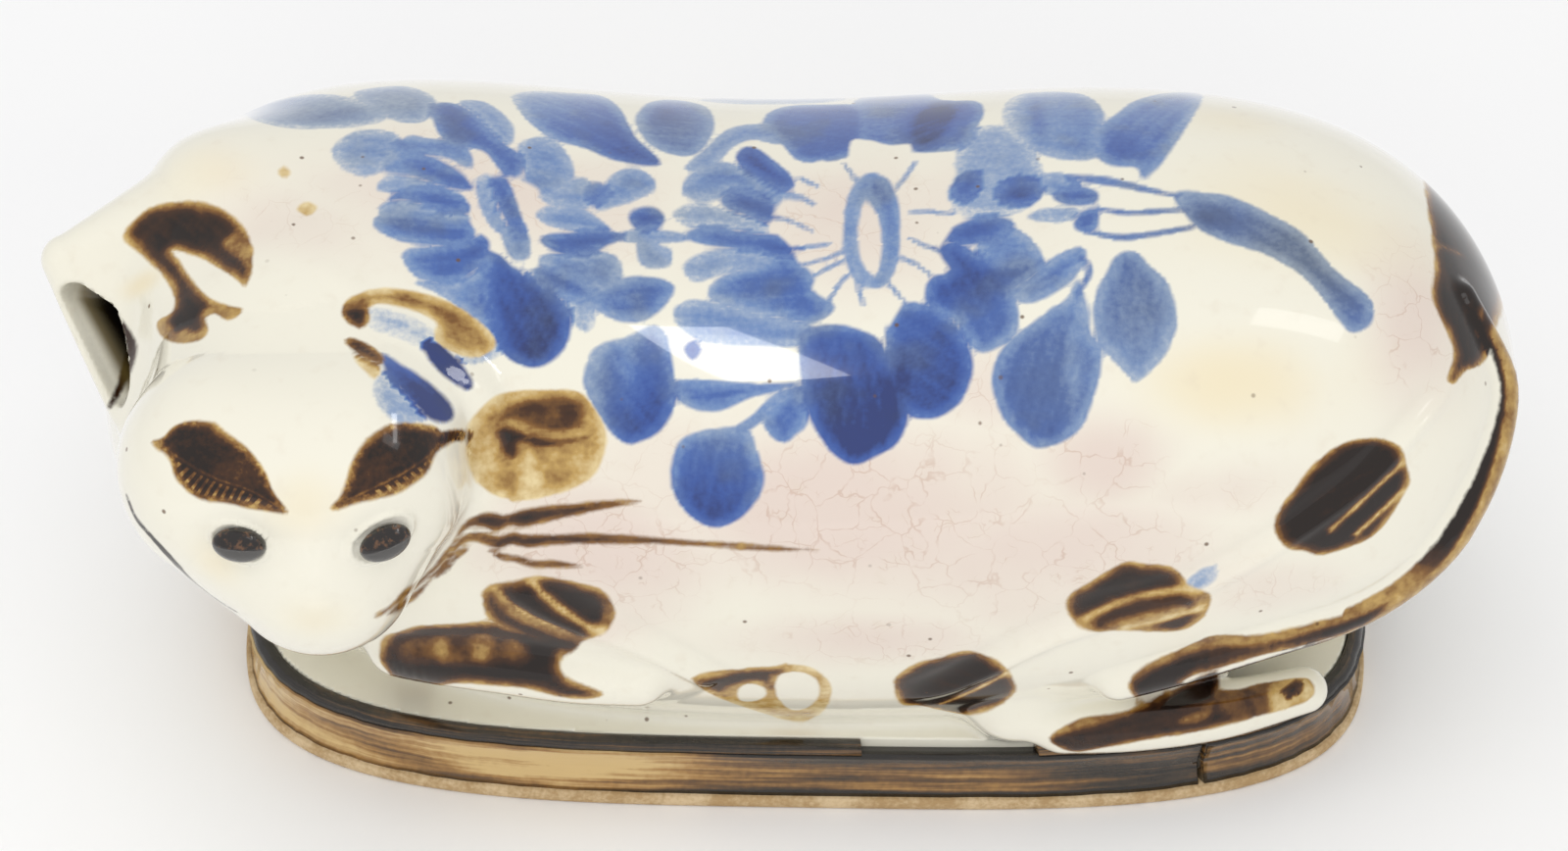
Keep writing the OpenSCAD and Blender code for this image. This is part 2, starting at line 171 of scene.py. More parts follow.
def dip_at(x):
    return SADDLE_DIP * np.exp(-((x + SADDLE_SHIFT) / SADDLE_REACH) ** 2)


def body_point(share, degrees, grow=0.0):
    a = math.radians(degrees)
    crown, tuck = crown_share(share), end_share(share, TUCK_BLUNT)
    if math.sin(a) >= 0:
        side, rise = crown, (BODY_H - GIRTH_Z + grow) * crown - dip_at(share * BODY_L / 2)
    else:
        side, rise = crown + (tuck - crown) * abs(math.sin(a)), (GIRTH_Z - KEEL_Z + grow) * tuck
    return [(BODY_L / 2 + grow) * share, (BODY_W / 2 + grow) * side * signed_pow(math.cos(a), 2 / BODY_SQUARE),
            GIRTH_Z + rise * signed_pow(math.sin(a), 2 / BODY_SQUARE)]


# Share of the half length at which each end of the body is cut flat, over a spot as broad as a finger
END_SHARE = 0.997
# Least half size of a section and least spread in it, so that nothing is divided by zero, and the step for a slope
LEAST_HALF, LEAST_SPREAD, SLOPE_STEP = 0.5, 0.05, 0.2


def body_shares(x, y, z):
    """A point's place in the section it lies in: shares of the section's half depth and of its rise or fall."""
    s = np.clip(x / (BODY_L / 2), -END_SHARE, END_SHARE)
    crown, tuck = crown_share(s), end_share(s, TUCK_BLUNT)
    above = z >= GIRTH_Z
    reach = np.where(above, (BODY_H - GIRTH_Z) * crown - dip_at(x), (GIRTH_Z - KEEL_Z) * tuck)
    tall = np.abs(z - GIRTH_Z) / np.maximum(reach, LEAST_HALF)
    side = np.where(above, crown, crown + (tuck - crown) * np.minimum(tall, 1.0) ** (BODY_SQUARE / 2))
    wide = np.abs(y) / np.maximum(BODY_W / 2 * side, LEAST_HALF)
    return wide, tall


def section_gap(x, y, z):
    wide, tall = body_shares(x, y, z)
    spread = np.maximum((wide ** BODY_SQUARE + tall ** BODY_SQUARE) ** (1 / BODY_SQUARE), LEAST_SPREAD)
    return (1 - 1 / spread) * np.maximum(np.hypot(y, z - GIRTH_Z), 1.0)


def body_gap(p):
    x, y, z = p.T
    gap = section_gap(x, y, z)
    slope = section_gap(x + SLOPE_STEP, y, z) - gap
    gap = gap / np.sqrt(1 + (slope / SLOPE_STEP) ** 2)
    return np.maximum(gap, np.abs(x) - END_SHARE * BODY_L / 2)


def unroll(p):
    """Place on the unrolled body: millimetres along it, and round the girth from the ridge of the back."""
    x, y, z = p.T
    wide, tall = body_shares(x, y, z)
    climb = np.degrees(np.arctan2(tall ** (BODY_SQUARE / 2), wide ** (BODY_SQUARE / 2)))
    climb = np.where(z >= GIRTH_Z, climb, -climb)
    turn = np.where(y < 0, 180 - climb, climb)
    return np.stack([x, BODY_W / 2 * np.radians(turn - 90)], -1)


# Clay forms as signed distances, in millimetres

def soft_join(a, b, k):
    h = np.clip(0.5 + 0.5 * (b - a) / k, 0.0, 1.0)
    return b + (a - b) * h - k * h * (1 - h)


def cone_gap(p, a, b):
    """Gap to a round cone between two balls."""
    way = b[:3] - a[:3]
    t = np.clip((p - a[:3]) @ way / (way @ way), 0.0, 1.0)
    return np.linalg.norm(p - a[:3] - t[:, None] * way, axis=1) - (a[3] + (b[3] - a[3]) * t)


def plate_gap(p, a, b, c):
    """Gap to the flat web stretched over three balls."""
    across, along = b[:3] - a[:3], c[:3] - a[:3]
    normal = np.cross(across, along)
    d = p - a[:3]
    v = np.cross(d, along) @ normal / (normal @ normal)
    w = np.cross(across, d) @ normal / (normal @ normal)
    gap = np.abs(d @ normal) / np.linalg.norm(normal) - (a[3] + v * (b[3] - a[3]) + w * (c[3] - a[3]))
    return np.where((v >= 0) & (w >= 0) & (v + w <= 1), gap, FAR)


def balls_gap(p, balls):
    """Gap to the form that is drawn tight over some balls."""
    rows = np.asarray(balls, float)
    best = np.full(len(p), FAR)
    for i in range(len(rows)):
        for j in range(i):
            best = np.minimum(best, cone_gap(p, rows[i], rows[j]))
            for k in range(j):
                best = np.minimum(best, plate_gap(p, rows[i], rows[j], rows[k]))
    return best


def limb_gap(p, run):
    """Gap to a limb along rows of x, y, z and radius."""
    best = np.full(len(p), FAR)
    for a, b in zip(run[:-1], run[1:]):
        best = np.minimum(best, cone_gap(p, a, b))
    return best


def near_only(p, low, high, form, rows):
    """Gap to a form made of some rows, worked out only inside a box and large outside it."""
    inside = np.all((p > low) & (p < high), axis=1)
    out = np.full(len(p), FAR)
    if inside.any():
        out[inside] = form(p[inside], rows)
    return out


def on_body(stations, r, bed):
    """A limb along places on the body, bedded some millimetres deep."""
    return np.array([[*body_point(s, a, -bed * k), r * k] for s, a, k in smooth_run(stations, CLAY_STEPS)])


def oval_point(half, degrees):
    a = np.radians(degrees)
    return np.stack([half[0] * signed_pow(np.cos(a), 2 / BASE_SQUARE),
                     half[1] * signed_pow(np.sin(a), 2 / BASE_SQUARE)], -1)


def oval_edge(half, x):
    return -half[1] * (1 - abs(x / half[0]) ** BASE_SQUARE) ** (1 / BASE_SQUARE)


def oval_gap(half, x, y):
    spread = (np.abs(x / half[0]) ** BASE_SQUARE + np.abs(y / half[1]) ** BASE_SQUARE) ** (1 / BASE_SQUARE)
    spread = np.maximum(spread, LEAST_SPREAD)
    return (1 - 1 / spread) * np.hypot(x, y)


BASE_HALF = np.array([BASE_L / 2, BASE_W / 2])
PLINTH_HALF = BASE_HALF - SLAB_LIP - BAND_T
tail_run = on_body(TAIL, TAIL_R, TAIL_BED)
foreleg_run = on_body(FORELEG, FORELEG_R, FORELEG_BED)
fold_run = on_body(FOLD, FOLD_R, FOLD_BED)
foot_run = smooth_run([[s * BASE_HALF[0], oval_edge(BASE_HALF, s * BASE_HALF[0]) + FOOT_INSET,
                        LEDGE_Z + FOOT_R * rise, FOOT_R * k] for s, rise, k in FOOT], CLAY_STEPS)


def face_place(p):
    """Place on the turned face, in millimetres across and up from the middle of the head."""
    d = p - FACE_C
    d = d / np.linalg.norm(d, axis=1)[:, None]
    return np.stack([FACE_R * (np.arctan2(d[:, 0], -d[:, 1]) - FACE_TURN),
                     FACE_R * np.arcsin(np.clip(d[:, 2], -1, 1))], -1)


def foot_place(p):
    """Place on the hind foot, in millimetres along it and round it from its outer side."""
    y, z = (np.interp(p[:, 0], foot_run[:, 0], foot_run[:, i]) for i in (1, 2))
    return np.stack([p[:, 0], FOOT_R * np.arctan2(p[:, 2] - z, y - p[:, 1])], -1)


def bump(q, centre, reach):
    return np.exp(-((q[:, 0] - centre[0]) / reach[0]) ** 2 - ((q[:, 1] - centre[1]) / reach[1]) ** 2)


def eye_axes(side):
    """The way out of the face at an eye, the way across it and the way up it."""
    turn = FACE_TURN + side * EYE_TURN
    flat = math.cos(FACE_SLOPE)
    out = np.array([flat * math.sin(turn), -flat * math.cos(turn), math.sin(FACE_SLOPE)])
    across = np.array([math.cos(turn), math.sin(turn), 0.0])
    return out, across, np.cross(out, across)


def eye_seat(side):
    """Middle of an eye bead."""
    out, _, up = eye_axes(side)
    return CHEEK_C[side] + (CHEEK_R + EYE_T / 2 - EYE_BED) * out - EYE_LOW * up


EYE_PLACE = {side: face_place(eye_seat(side)[None])[0] for side in (-1, 1)}
# Forms in the middle of the face: height, place, and reach across and up
FACE_FORMS = {"bridge of the nose": (0.9, (0, 9), (4.5, 9)), "tip of the nose": (0.8, (0, 1.5), (5.0, 3.6)),
              "fall to the chin": (-0.9, (0, -5), (22, 18))}
PAD_RISE, SOCKET_DEPTH, LID_RISE, BROW_RISE = 0.6, 1.1, 0.9, 0.8
# The lid runs round the eye at this many times the eye's half size, and is this wide
LID_AT, LID_WIDTH = 1.2, 0.2


def face_relief(p):
    """Height of the nose, the whisker pads, the lids and the brows over the round of the head."""
    q = face_place(p)
    high = np.zeros(len(p))
    for rise, place, reach in FACE_FORMS.values():
        high += rise * bump(q, place, reach)
    for side in (-1, 1):
        eye = EYE_PLACE[side]
        a, b = turned(q[:, 0] - eye[0], q[:, 1] - eye[1], EYE_SLANT * side)
        lid = np.exp(-((np.hypot(a / (EYE_L / 2), b / (EYE_H / 2)) - LID_AT) / LID_WIDTH) ** 2)
        pad, brow = (side * 8.5, -4.5), (side * 15.0, 25.0 - 2.5 * side)
        high += PAD_RISE * bump(q, pad, (6.0, 5.0)) - SOCKET_DEPTH * bump(q, eye, (9.5, 6.5))
        high += LID_RISE * lid + BROW_RISE * bump(q, brow, (10.0, 5.0))
    return high


# The relief lines that part the haunch and the shoulder from the belly, on the unrolled body

def flat_run(stations):
    return np.array([[BODY_L / 2 * s, BODY_W / 2 * math.radians(a - 90)]
                     for s, a, _ in smooth_run(stations, CLAY_STEPS)])


def line_place(q, run):
    """Distance from a line on the unrolled body, positive to its left, and the share of its length at that point."""
    best, sign, along = np.full(len(q), FAR), np.ones(len(q)), np.zeros(len(q))
    for i in range(len(run) - 1):
        a, way = run[i], run[i + 1] - run[i]
        t = np.clip((q - a) @ way / (way @ way), 0.0, 1.0)
        off = q - a - t[:, None] * way
        gap = np.hypot(*off.T)
        near = gap < best
        best[near], along[near] = gap[near], (i + t[near]) / (len(run) - 1)
        sign[near] = np.sign(way[0] * off[near, 1] - way[1] * off[near, 0])
    return best * np.where(sign == 0, 1, sign), along


FOLD_LINES = [flat_run(HAUNCH), flat_run(SHOULDER)]
LINE_REACH = 22.0
# Heights of a fold's ridge and of the step behind it, and depth of the groove before it
RIDGE_RISE, STEP_RISE, GROOVE_DEPTH = 0.9, 0.7, 0.4


def body_relief(p):
    """Height of the folds on the front of the body."""
    q = unroll(p)
    high = np.zeros(len(p))
    for run in FOLD_LINES:
        inside = np.all((q > run.min(0) - LINE_REACH) & (q < run.max(0) + LINE_REACH), axis=1)
        if not inside.any():
            continue
        off, along = line_place(q[inside], run)
        ends = ramp_up(0.0, 0.12, along) * (1 - ramp_up(0.88, 1.0, along))
        ridge, groove = np.exp(-(off / 1.6) ** 2), np.exp(-((off + 4.2) / 2.0) ** 2)
        step = ramp_up(-3.0, 3.0, off) * np.exp(-(off / 14.0) ** 2)
        high[inside] += ends * (RIDGE_RISE * ridge + STEP_RISE * step - GROOVE_DEPTH * groove)
    return high


EAR_LOW, EAR_HIGH = CROWN_C + [-66, -36, -26], CROWN_C + [22, 66, 58]
# Pieces luted on: the box round each, its kind of form, and the balls or the run that the form is drawn over
LUTED = {
    "head": (FACE_C - 46, FACE_C + [46, 66, 46], balls_gap, HEAD_BALLS),
    "open_ear": (EAR_LOW, EAR_HIGH, balls_gap, EAR_BALLS),
    "folded_ear": ([-108, -75, 60], [-45, 5, 125], limb_gap, fold_run),
    "foreleg": ([-100, -85, 15], [-15, -30, 70], limb_gap, foreleg_run),
    "hind_foot": ([35, -75, 10], [120, -15, 45], limb_gap, foot_run),
    "tail": ([40, -85, 15], [150, 25, 130], limb_gap, tail_run),
}
# How broadly glaze and slip fill the corner round each piece, and how much more they do at a few places
FILLETS = {"plinth_ring": 5.0, "head": 5.0, "open_ear": 1.5, "folded_ear": 3.0, "foreleg": 2.4, "hind_foot": 2.0,
           "tail": 2.2}
CROWN_FILLET, EAR_FILLET, KNEE_FILLET, VENT_FILLET = 12.0, 12.0, 4.0, 1.4
# Depth at which the relief has faded out, how far the skin lies inside the clay, and how much that varies
RELIEF_DEPTH, SKIN_SINK, SKIN_WAVE = 9.0, 0.16, 0.14


def clay_gaps(p):
    """Gap to each clay piece by name."""
    x, y, z = p.T
    plinth = np.maximum(oval_gap(PLINTH_HALF, x, y), np.maximum(z - LEDGE_Z, SLAB_T - z))
    gaps = {"body": body_gap(p), "plinth_ring": plinth}
    for name, box_and_form in LUTED.items():
        gaps[name] = near_only(p, *box_and_form)
    return gaps


def vent_gap(p):
    return near_only(p, EAR_LOW, EAR_HIGH, balls_gap, VENT_BALLS)


def skin_gap(p):
    """Gap to the whole fired skin: the clay pieces with glaze in their corners, and the folds pressed into them."""
    x, y, z = p.T
    parts = clay_gaps(p)
    for name, relief in (("body", body_relief), ("head", face_relief)):
        off = np.abs(parts[name])
        near = off < RELIEF_DEPTH
        parts[name][near] -= relief(p[near]) * ramp_up(RELIEF_DEPTH, RELIEF_DEPTH / 2, off[near])
    wider = {"head": CROWN_FILLET * ramp_up(94.0, 106.0, z), "open_ear": EAR_FILLET * ramp_up(-135.0, -120.0, x)}
    gap = parts["body"]
    for name, fillet in FILLETS.items():
        gap = soft_join(gap, parts[name], fillet + wider.get(name, 0.0))
    knee = np.linalg.norm((p - KNEE) * KNEE_STRETCH, axis=1) - KNEE_R
    gap = soft_join(gap, knee, KNEE_FILLET)
    gap = gap + SKIN_SINK + SKIN_WAVE * np.sin(x / 15 + 1.3) * np.cos(z / 12 + y / 19)
    gap = -soft_join(-gap, vent_gap(p), VENT_FILLET)
    return np.maximum(gap, SLAB_T - z)


def gap_slope(p, step=0.15):
    """Gap and its slope, by small steps along the three axes."""
    gap = skin_gap(p)
    slope = np.stack([(skin_gap(p + step * np.eye(3)[i]) - gap) / step for i in range(3)], -1)
    return gap, slope


# Longest move of a knot in one round of settling, and the least slope that it is divided by
LONGEST_MOVE, LEAST_SLOPE = 1.2, 0.2


def settle(p, rounds):
    """Knots moved on to the skin."""
    for _ in range(rounds):
        gap, slope = gap_slope(p)
        move = (gap / np.maximum((slope ** 2).sum(1), LEAST_SLOPE))[:, None] * slope
        far = np.linalg.norm(move, axis=1)[:, None]
        p = p - move * np.minimum(1.0, LONGEST_MOVE / np.maximum(far, 1e-9))
    return p


# Cells of the net are tried in blocks of this many a side, and one by one only where the skin is this many steps near.
# So many points are worked out at once
BLOCK, BLOCK_REACH, AT_ONCE = 4, 5.5, 400000


def cells(*counts):
    return np.stack(np.meshgrid(*[np.arange(c) for c in counts], indexing="ij"), -1).reshape(-1, 3)


def wrap_net(low, high, step):
    """A net of quads over the skin, with its knots near the skin."""
    count = np.ceil((high - low) / (BLOCK * step)).astype(int)
    start = cells(*count)
    middle = skin_gap(low + step * (BLOCK * start + (BLOCK - 1) / 2)).astype(np.float32)
    blocks = np.repeat(middle, BLOCK ** 3).reshape(*count, BLOCK, BLOCK, BLOCK)
    close = np.abs(middle) < BLOCK_REACH * step
    fine = low + step * (BLOCK * start[close][:, None] + cells(BLOCK, BLOCK, BLOCK)).reshape(-1, 3)
    gaps = np.concatenate([skin_gap(part) for part in np.array_split(fine, max(1, len(fine) // AT_ONCE))])
    blocks.reshape(-1, BLOCK, BLOCK, BLOCK)[close] = gaps.reshape(-1, BLOCK, BLOCK, BLOCK)
    filled = blocks.transpose(0, 3, 1, 4, 2, 5).reshape(count * BLOCK) < 0
    some = np.zeros(np.array(filled.shape) - 1, bool)
    every = np.ones_like(some)
    for corner in np.ndindex(2, 2, 2):
        here = filled[tuple(slice(c, c + n) for c, n in zip(corner, some.shape))]
        some |= here
        every &= here
    knots = some & ~every
    index = np.full(knots.shape, -1, np.int64)
    index[knots] = np.arange(knots.sum())
    points = low + step * (np.argwhere(knots) + 0.5)
    quads = []
    for axis in range(3):
        s, c = np.moveaxis(filled, axis, 0), np.moveaxis(index, axis, 0)
        i, j, k = np.nonzero(s[:-1, 1:-1, 1:-1] != s[1:, 1:-1, 1:-1])
        quad = np.stack([c[i, j, k], c[i, j + 1, k], c[i, j + 1, k + 1], c[i, j, k + 1]], -1)
        turn = s[i, j + 1, k + 1] != (axis == 1)
        quad[~turn] = quad[~turn][:, ::-1]
        quads.append(quad)
    return points, np.concatenate(quads)


def edge_ends(quads):
    """The two knots of each edge of some quads, both ways round."""
    for a, b in ((0, 1), (1, 2), (2, 3), (3, 0)):
        yield quads[:, a], quads[:, b]
        yield quads[:, b], quads[:, a]


def ease(points, quads, share):
    """Knots drawn towards the middle of their neighbours."""
    total, number = np.zeros_like(points), np.zeros(len(points))
    for here, there in edge_ends(quads):
        np.add.at(total, here, points[there])
        np.add.at(number, here, 1)
    return points + share * (total / number[:, None] - points)


# Distance from the camera at which millimetres in the photograph are reckoned: that of the front of the body
SEEN_DISTANCE = 850.0
PIXELS_PER_MM = VIEW_FOCAL / SEEN_DISTANCE


def seen_place(p):
    """Place in the photograph, in millimetres at the distance of the front of the body."""
    off = p - view_eye
    across_down = np.stack([off @ view_right, -(off @ view_up)], -1)
    return SEEN_DISTANCE * across_down / (off @ -view_back)[:, None]


SKIN_LOW, SKIN_HIGH, SKIN_STEP = np.array([-152.0, -90.0, 1.0]), np.array([146.0, 66.0, 124.0]), 0.9
EASE_ROUNDS, EASE_SHARE = 2, 0.5
net_points, net_quads = wrap_net(SKIN_LOW, SKIN_HIGH, SKIN_STEP)
net_points = settle(net_points, 2)
for _ in range(EASE_ROUNDS):
    net_points = settle(ease(net_points, net_quads, EASE_SHARE), 1)
net_points = np.clip(net_points, np.array(cad_box[0]) / MM, np.array(cad_box[1]) / MM)
net_normals = gap_slope(net_points)[1]
net_normals /= np.linalg.norm(net_normals, axis=1)[:, None]
clay = clay_gaps(net_points)
NETS = {place: place(net_points) for place in (unroll, face_place, foot_place, seen_place)}
net_flat, net_face = NETS[unroll], NETS[face_place]
plinth_lead = np.min([gap for name, gap in clay.items() if name != "plinth_ring"], axis=0) - clay["plinth_ring"]


# Brush strokes. Each is an outline in pixels of the photograph, with the load of pigment at its first point and at the
# point half way round. It is laid on the skin by rays through the camera, on the unrolled body, on the face, on the
# hind foot, or as the camera sees it.

# Skin that faces the camera less than this, and further over the back than this, lies at the skyline of the back. A
# stroke that it cuts off gets a round end over the back, this share of its half width long and no longer than this
SKYLINE, BACK_LINE, END_ROUND, LONGEST_END = 0.16, -20.0, 0.8, 11.0
# Rays start this far short of the point that the camera looks at. They go so many steps, each a share of the gap
# between a least and a most, until they are this near the skin
RAY_START, RAY_STEPS, RAY_SHARE, RAY_LEAST, RAY_MOST, RAY_NEAR = 160.0, 70, 0.9, 0.03, 30.0, 0.02


def pixels(text):
    return np.array([[float(v) for v in pair.split(",")] for pair in text.split()])


def on_skin(spots):
    """Points of the skin that the camera sees at some pixels, or the nearest ones where it looks past the skin."""
    way = -view_back + np.outer((spots[:, 0] - VIEW_W / 2) / VIEW_FOCAL, view_right) \
        + np.outer((VIEW_H / 2 - spots[:, 1]) / VIEW_FOCAL, view_up)
    way /= np.linalg.norm(way, axis=1)[:, None]
    reach = np.full(len(spots), VIEW_DISTANCE - RAY_START)
    best, found = np.full(len(spots), FAR), reach.copy()
    for _ in range(RAY_STEPS):
        gap = skin_gap(view_eye + reach[:, None] * way)
        closer = gap < best - 1e-4
        best[closer], found[closer] = gap[closer], reach[closer]
        reach = reach + np.where(best > RAY_NEAR, np.clip(RAY_SHARE * gap, RAY_LEAST, RAY_MOST), 0.0)
    return view_eye + found[:, None] * way


def round_off(spots):
    """An outline on the unrolled body. Where the skyline cuts it off, it goes on over the back to a round end."""
    ring = unroll(spots)
    slope = gap_slope(spots)[1]
    facing = slope @ view_back / np.linalg.norm(slope, axis=1)
    cut = (facing < SKYLINE) & (ring[:, 1] < BACK_LINE)
    if cut.sum() > 2:
        x = ring[cut, 0]
        middle, half = (x.min() + x.max()) / 2, max((x.max() - x.min()) / 2, 1.0)
        end = np.sqrt(np.clip(1 - ((x - middle) / half) ** 2, 0.0, 1.0))
        ring[cut, 1] -= min(END_ROUND * half, LONGEST_END) * end
    return ring


def ring_gap(q, ring, reach=8.0):
    """Gap to a closed outline, negative inside it, worked out only near it."""
    out = np.full(len(q), FAR)
    near = np.flatnonzero(np.all((q > ring.min(0) - reach) & (q < ring.max(0) + reach), axis=1))
    p = q[near]
    best, inside = np.full(len(p), FAR), np.zeros(len(p), bool)
    for a, b in zip(ring, np.roll(ring, -1, axis=0)):
        way = b - a
        t = np.clip((p - a) @ way / max(way @ way, 1e-9), 0.0, 1.0)
        best = np.minimum(best, ((p - a - t[:, None] * way) ** 2).sum(1))
        level_x = a[0] + way[0] * (p[:, 1] - a[1]) / (way[1] if abs(way[1]) > 1e-9 else 1e-9)
        inside ^= ((a[1] > p[:, 1]) != (b[1] > p[:, 1])) & (p[:, 0] < level_x)
    out[near] = np.sqrt(best) * np.where(inside, -1, 1)
    return out


def streak(across, along, seed):
    """Fine lights and darks that a brush leaves along its way."""
    phase = 7.3 * seed
    return 0.5 * np.sin(across * 1.9 + phase + 0.8 * np.sin(along * 0.11 + phase)) \
        + 0.5 * np.sin(across * 3.7 + 2.1 * phase + 0.6 * np.sin(along * 0.17))


def drawn(text, place, steps, closed=True):
    """A run of pixels drawn smooth and laid on the skin, as places on one of its nets."""
    return place(on_skin(smooth_run(pixels(text), steps, closed)))


def beside(text, place, reach):
    """A line of the brush: its run, the knots near it, how far off it they lie, and at what share of its length."""
    run = drawn(text, place, BRUSH_STEPS, closed=False)
    q = NETS[place]
    near = np.flatnonzero(np.all((q > run.min(0) - reach) & (q < run.max(0) + reach), axis=1))
    return run, near, *line_place(q[near], run)


def zone(x, y, wide, tall, least):
    """A soft zone round a pixel on the unrolled body, with its reach in pixels and its least reach in millimetres."""
    middle = unroll(on_skin(np.array([[x, y], [x + wide, y], [x, y + tall]], float)))
    reach = np.maximum(np.abs([middle[1, 0] - middle[0, 0], middle[2, 1] - middle[0, 1]]), least)
    return bump(net_flat, middle[0], reach)


# How far round a stroke its knots are looked at, how strong the brush's streaks are, how far in from its edge a stroke
# is thinner, and how far out from a stroke and from a line the pigment still lies
STROKE_REACH, STREAK_DEPTH, THIN_EDGE, STROKE_BLEED, LINE_BLEED = 6.0, 0.08, 3.0, 0.8, 0.6


class Pigment:
    """One colour of pigment on the skin: the gap to its nearest edge and how thickly it lies."""

    def __init__(self, edge):
        self.gap = np.full(len(net_points), FAR)
        self.load = np.zeros(len(net_points))
        self.edge = edge
        self.count = 0

    def stroke(self, text, first, half, place=unroll, where=plinth_lead):
        """A filled outline, with the load of pigment at its first point and half way round."""
        ring = drawn(text, round_off if place is unroll else place, BRUSH_STEPS)
        q = NETS[place]
        gap = np.maximum(ring_gap(q, ring), where)
        near = gap < STROKE_REACH
        start, way = ring[0], ring[len(ring) // 2] - ring[0]
        along = (q[near] - start) @ way / np.hypot(*way)
        across = (q[near] - start) @ np.array([-way[1], way[0]]) / np.hypot(*way)
        share = np.clip(along / np.hypot(*way), 0.0, 1.0)
        self.count += 1
        load = (first + (half - first) * share) * (1 + STREAK_DEPTH * streak(across, along, self.count))
        load *= 1 - self.edge + self.edge * ramp_up(0.0, THIN_EDGE, -gap[near])
        self.load[near] = np.maximum(self.load[near], np.where(gap[near] < STROKE_BLEED, load, 0.0))
        self.gap = np.minimum(self.gap, gap)

    def strokes(self, outlines, place=unroll, where=plinth_lead):
        for first, half, text in outlines.values():
            self.stroke(text, first, half, place, where)

    def line(self, text, width, load, place=unroll, where=plinth_lead):
        """A thin stroke of the brush, with a width in pixels."""
        _, near, off, along = beside(text, place, STROKE_REACH)
        swell = 0.35 + 0.65 * np.sin(np.pi * np.clip(along, 0.08, 0.92))
        gap = np.maximum(np.abs(off) - width / 2 / PIXELS_PER_MM * swell, where[near])
        self.load[near] = np.maximum(self.load[near], np.where(gap < LINE_BLEED, load, 0.0))
        self.gap[near] = np.minimum(self.gap[near], gap)

    def spare(self, text):
        """An outline on the body that the pigment leaves bare."""
        self.gap = np.maximum(self.gap, -ring_gap(net_flat, drawn(text, unroll, WASH_STEPS)))

    def washes(self, outlines, place=unroll, where=-FAR):
        """Outlines in which the pigment lies thinner or thicker than round them."""
        for load, text in outlines.values():
            gap = np.maximum(ring_gap(NETS[place], drawn(text, place, WASH_STEPS)), where)
            self.load = self.load + ramp_up(1.0, -1.0, gap) * (load - self.load)

    def pool(self, x, y, wide, tall, extra):
        """More or less pigment round a pixel, over a reach in pixels."""
        self.load = self.load + extra * zone(x, y, wide, tall, 0.5)


def in_sight(text, reach=5.0):
    """Gap that keeps a stroke to the skin that the camera sees near the stroke's own outline."""
    spots = on_skin(pixels(text))
    apart = np.max(np.maximum(spots.min(0) - net_points, net_points - spots.max(0)), axis=1)
    return np.where(net_normals @ view_back > 0.05, apart - reach, FAR)


cobalt = Pigment(0.35)
LEFT_SPRAY = {
    "long leaf": (0.42, 0.32, "250,113 280,103 313,97 347,98 373,107 393,120 373,127 340,130 297,130 263,123"),
    "top leaf": (0.35, 0.4, "362,95 380,90 410,88 430,93 443,103 437,120 417,125 390,117 370,107"),
    "pale leaf": (0.35, 0.4, "340,152 357,137 377,133 403,137 407,153 397,168 377,178 363,177 347,167"),
    "leaf link": (0.65, 0.65, "402,148 412,143 421,150 411,157"),
    "first petal": (0.5, 0.6, "410,157 417,140 437,142 463,145 477,153 480,170 457,160 430,157"),
    "bent petal": (
        0.72, 0.72, "443,107 463,106 482,116 500,135 515,148 531,160 530,177 517,180 508,168 493,153 463,147"
        " 450,137 443,120"),
    "petal in shade": (0.42, 0.42, "470,104 492,104 513,117 523,133 519,146 504,136 486,116"),
    "second petal": (0.55, 0.85, "393,173 403,160 430,158 463,173 478,187 477,193 447,187 417,177"),
    "third petal": (0.4, 0.45, "386,192 396,181 420,182 455,193 472,201 470,207 435,195 404,196"),
    "fourth petal": (0.7, 0.8, "398,203 410,195 437,193 463,200 478,210 473,218 447,213 417,203"),
    "fifth petal": (0.42, 0.45, "387,214 398,206 425,208 455,216 478,221 474,226 430,220 396,222"),
    "sixth petal": (0.55, 0.7, "383,230 390,219 417,217 457,224 480,229 480,247 457,250 430,248 403,243"),
    "seventh petal": (
        0.5, 0.8, "412,263 418,255 443,252 477,246 497,240 500,258 484,275 462,288 443,287 423,280"),
    "washed petal": (0.4, 0.5, "425,288 450,288 480,282 500,262 505,300 504,335 497,345 478,322 450,300"),
    "dark petal": (
        0.68, 1.0, "500,250 530,272 563,297 580,320 580,340 570,360 550,373 530,370 513,357 503,333 495,300"),
    "right petal": (0.4, 0.42, "530,150 545,141 562,143 578,157 585,180 570,190 545,187 534,170"),
    "core of the right petal": (0.58, 0.58, "535,183 545,177 562,180 566,190 552,195 538,193"),
    "grey petal": (0.36, 0.4, "548,195 570,186 597,183 607,200 596,212 566,210"),
    "low arc": (0.4, 0.5, "548,220 562,211 590,212 610,224 622,236 598,236 566,231"),
    "bright streak": (0.75, 0.8, "553,243 585,238 612,236 636,240 620,249 598,259 570,257"),
    "broad grey petal": (0.48, 0.42, "553,262 590,258 625,260 634,280 620,298 585,292 560,278"),
    "bright petal": (0.7, 0.62, "545,276 570,276 604,294 600,304 580,304 558,294"),
    "pale tip": (0.35, 0.35, "578,302 598,303 606,320 600,337 586,328"),
    "dark bead": (0.75, 0.75, "602,192 612,188 620,198 612,208 603,206"),
    "small leaf": (0.42, 0.5, "608,212 622,184 640,173 660,178 668,190 653,200 632,208"),
    "cap": (0.8, 0.8, "643,222 650,214 668,213 677,223 669,233 650,232"),
    "cap stem": (0.4, 0.45, "651,231 668,231 671,250 684,256 682,270 660,272 652,262"),
    "side band": (0.45, 0.5, "636,238 655,236 690,238 700,244 668,247 640,246"),
    "low leaf": (0.5, 0.62, "600,305 613,293 647,283 673,285 686,293 680,307 663,323 640,328 617,320"),
}
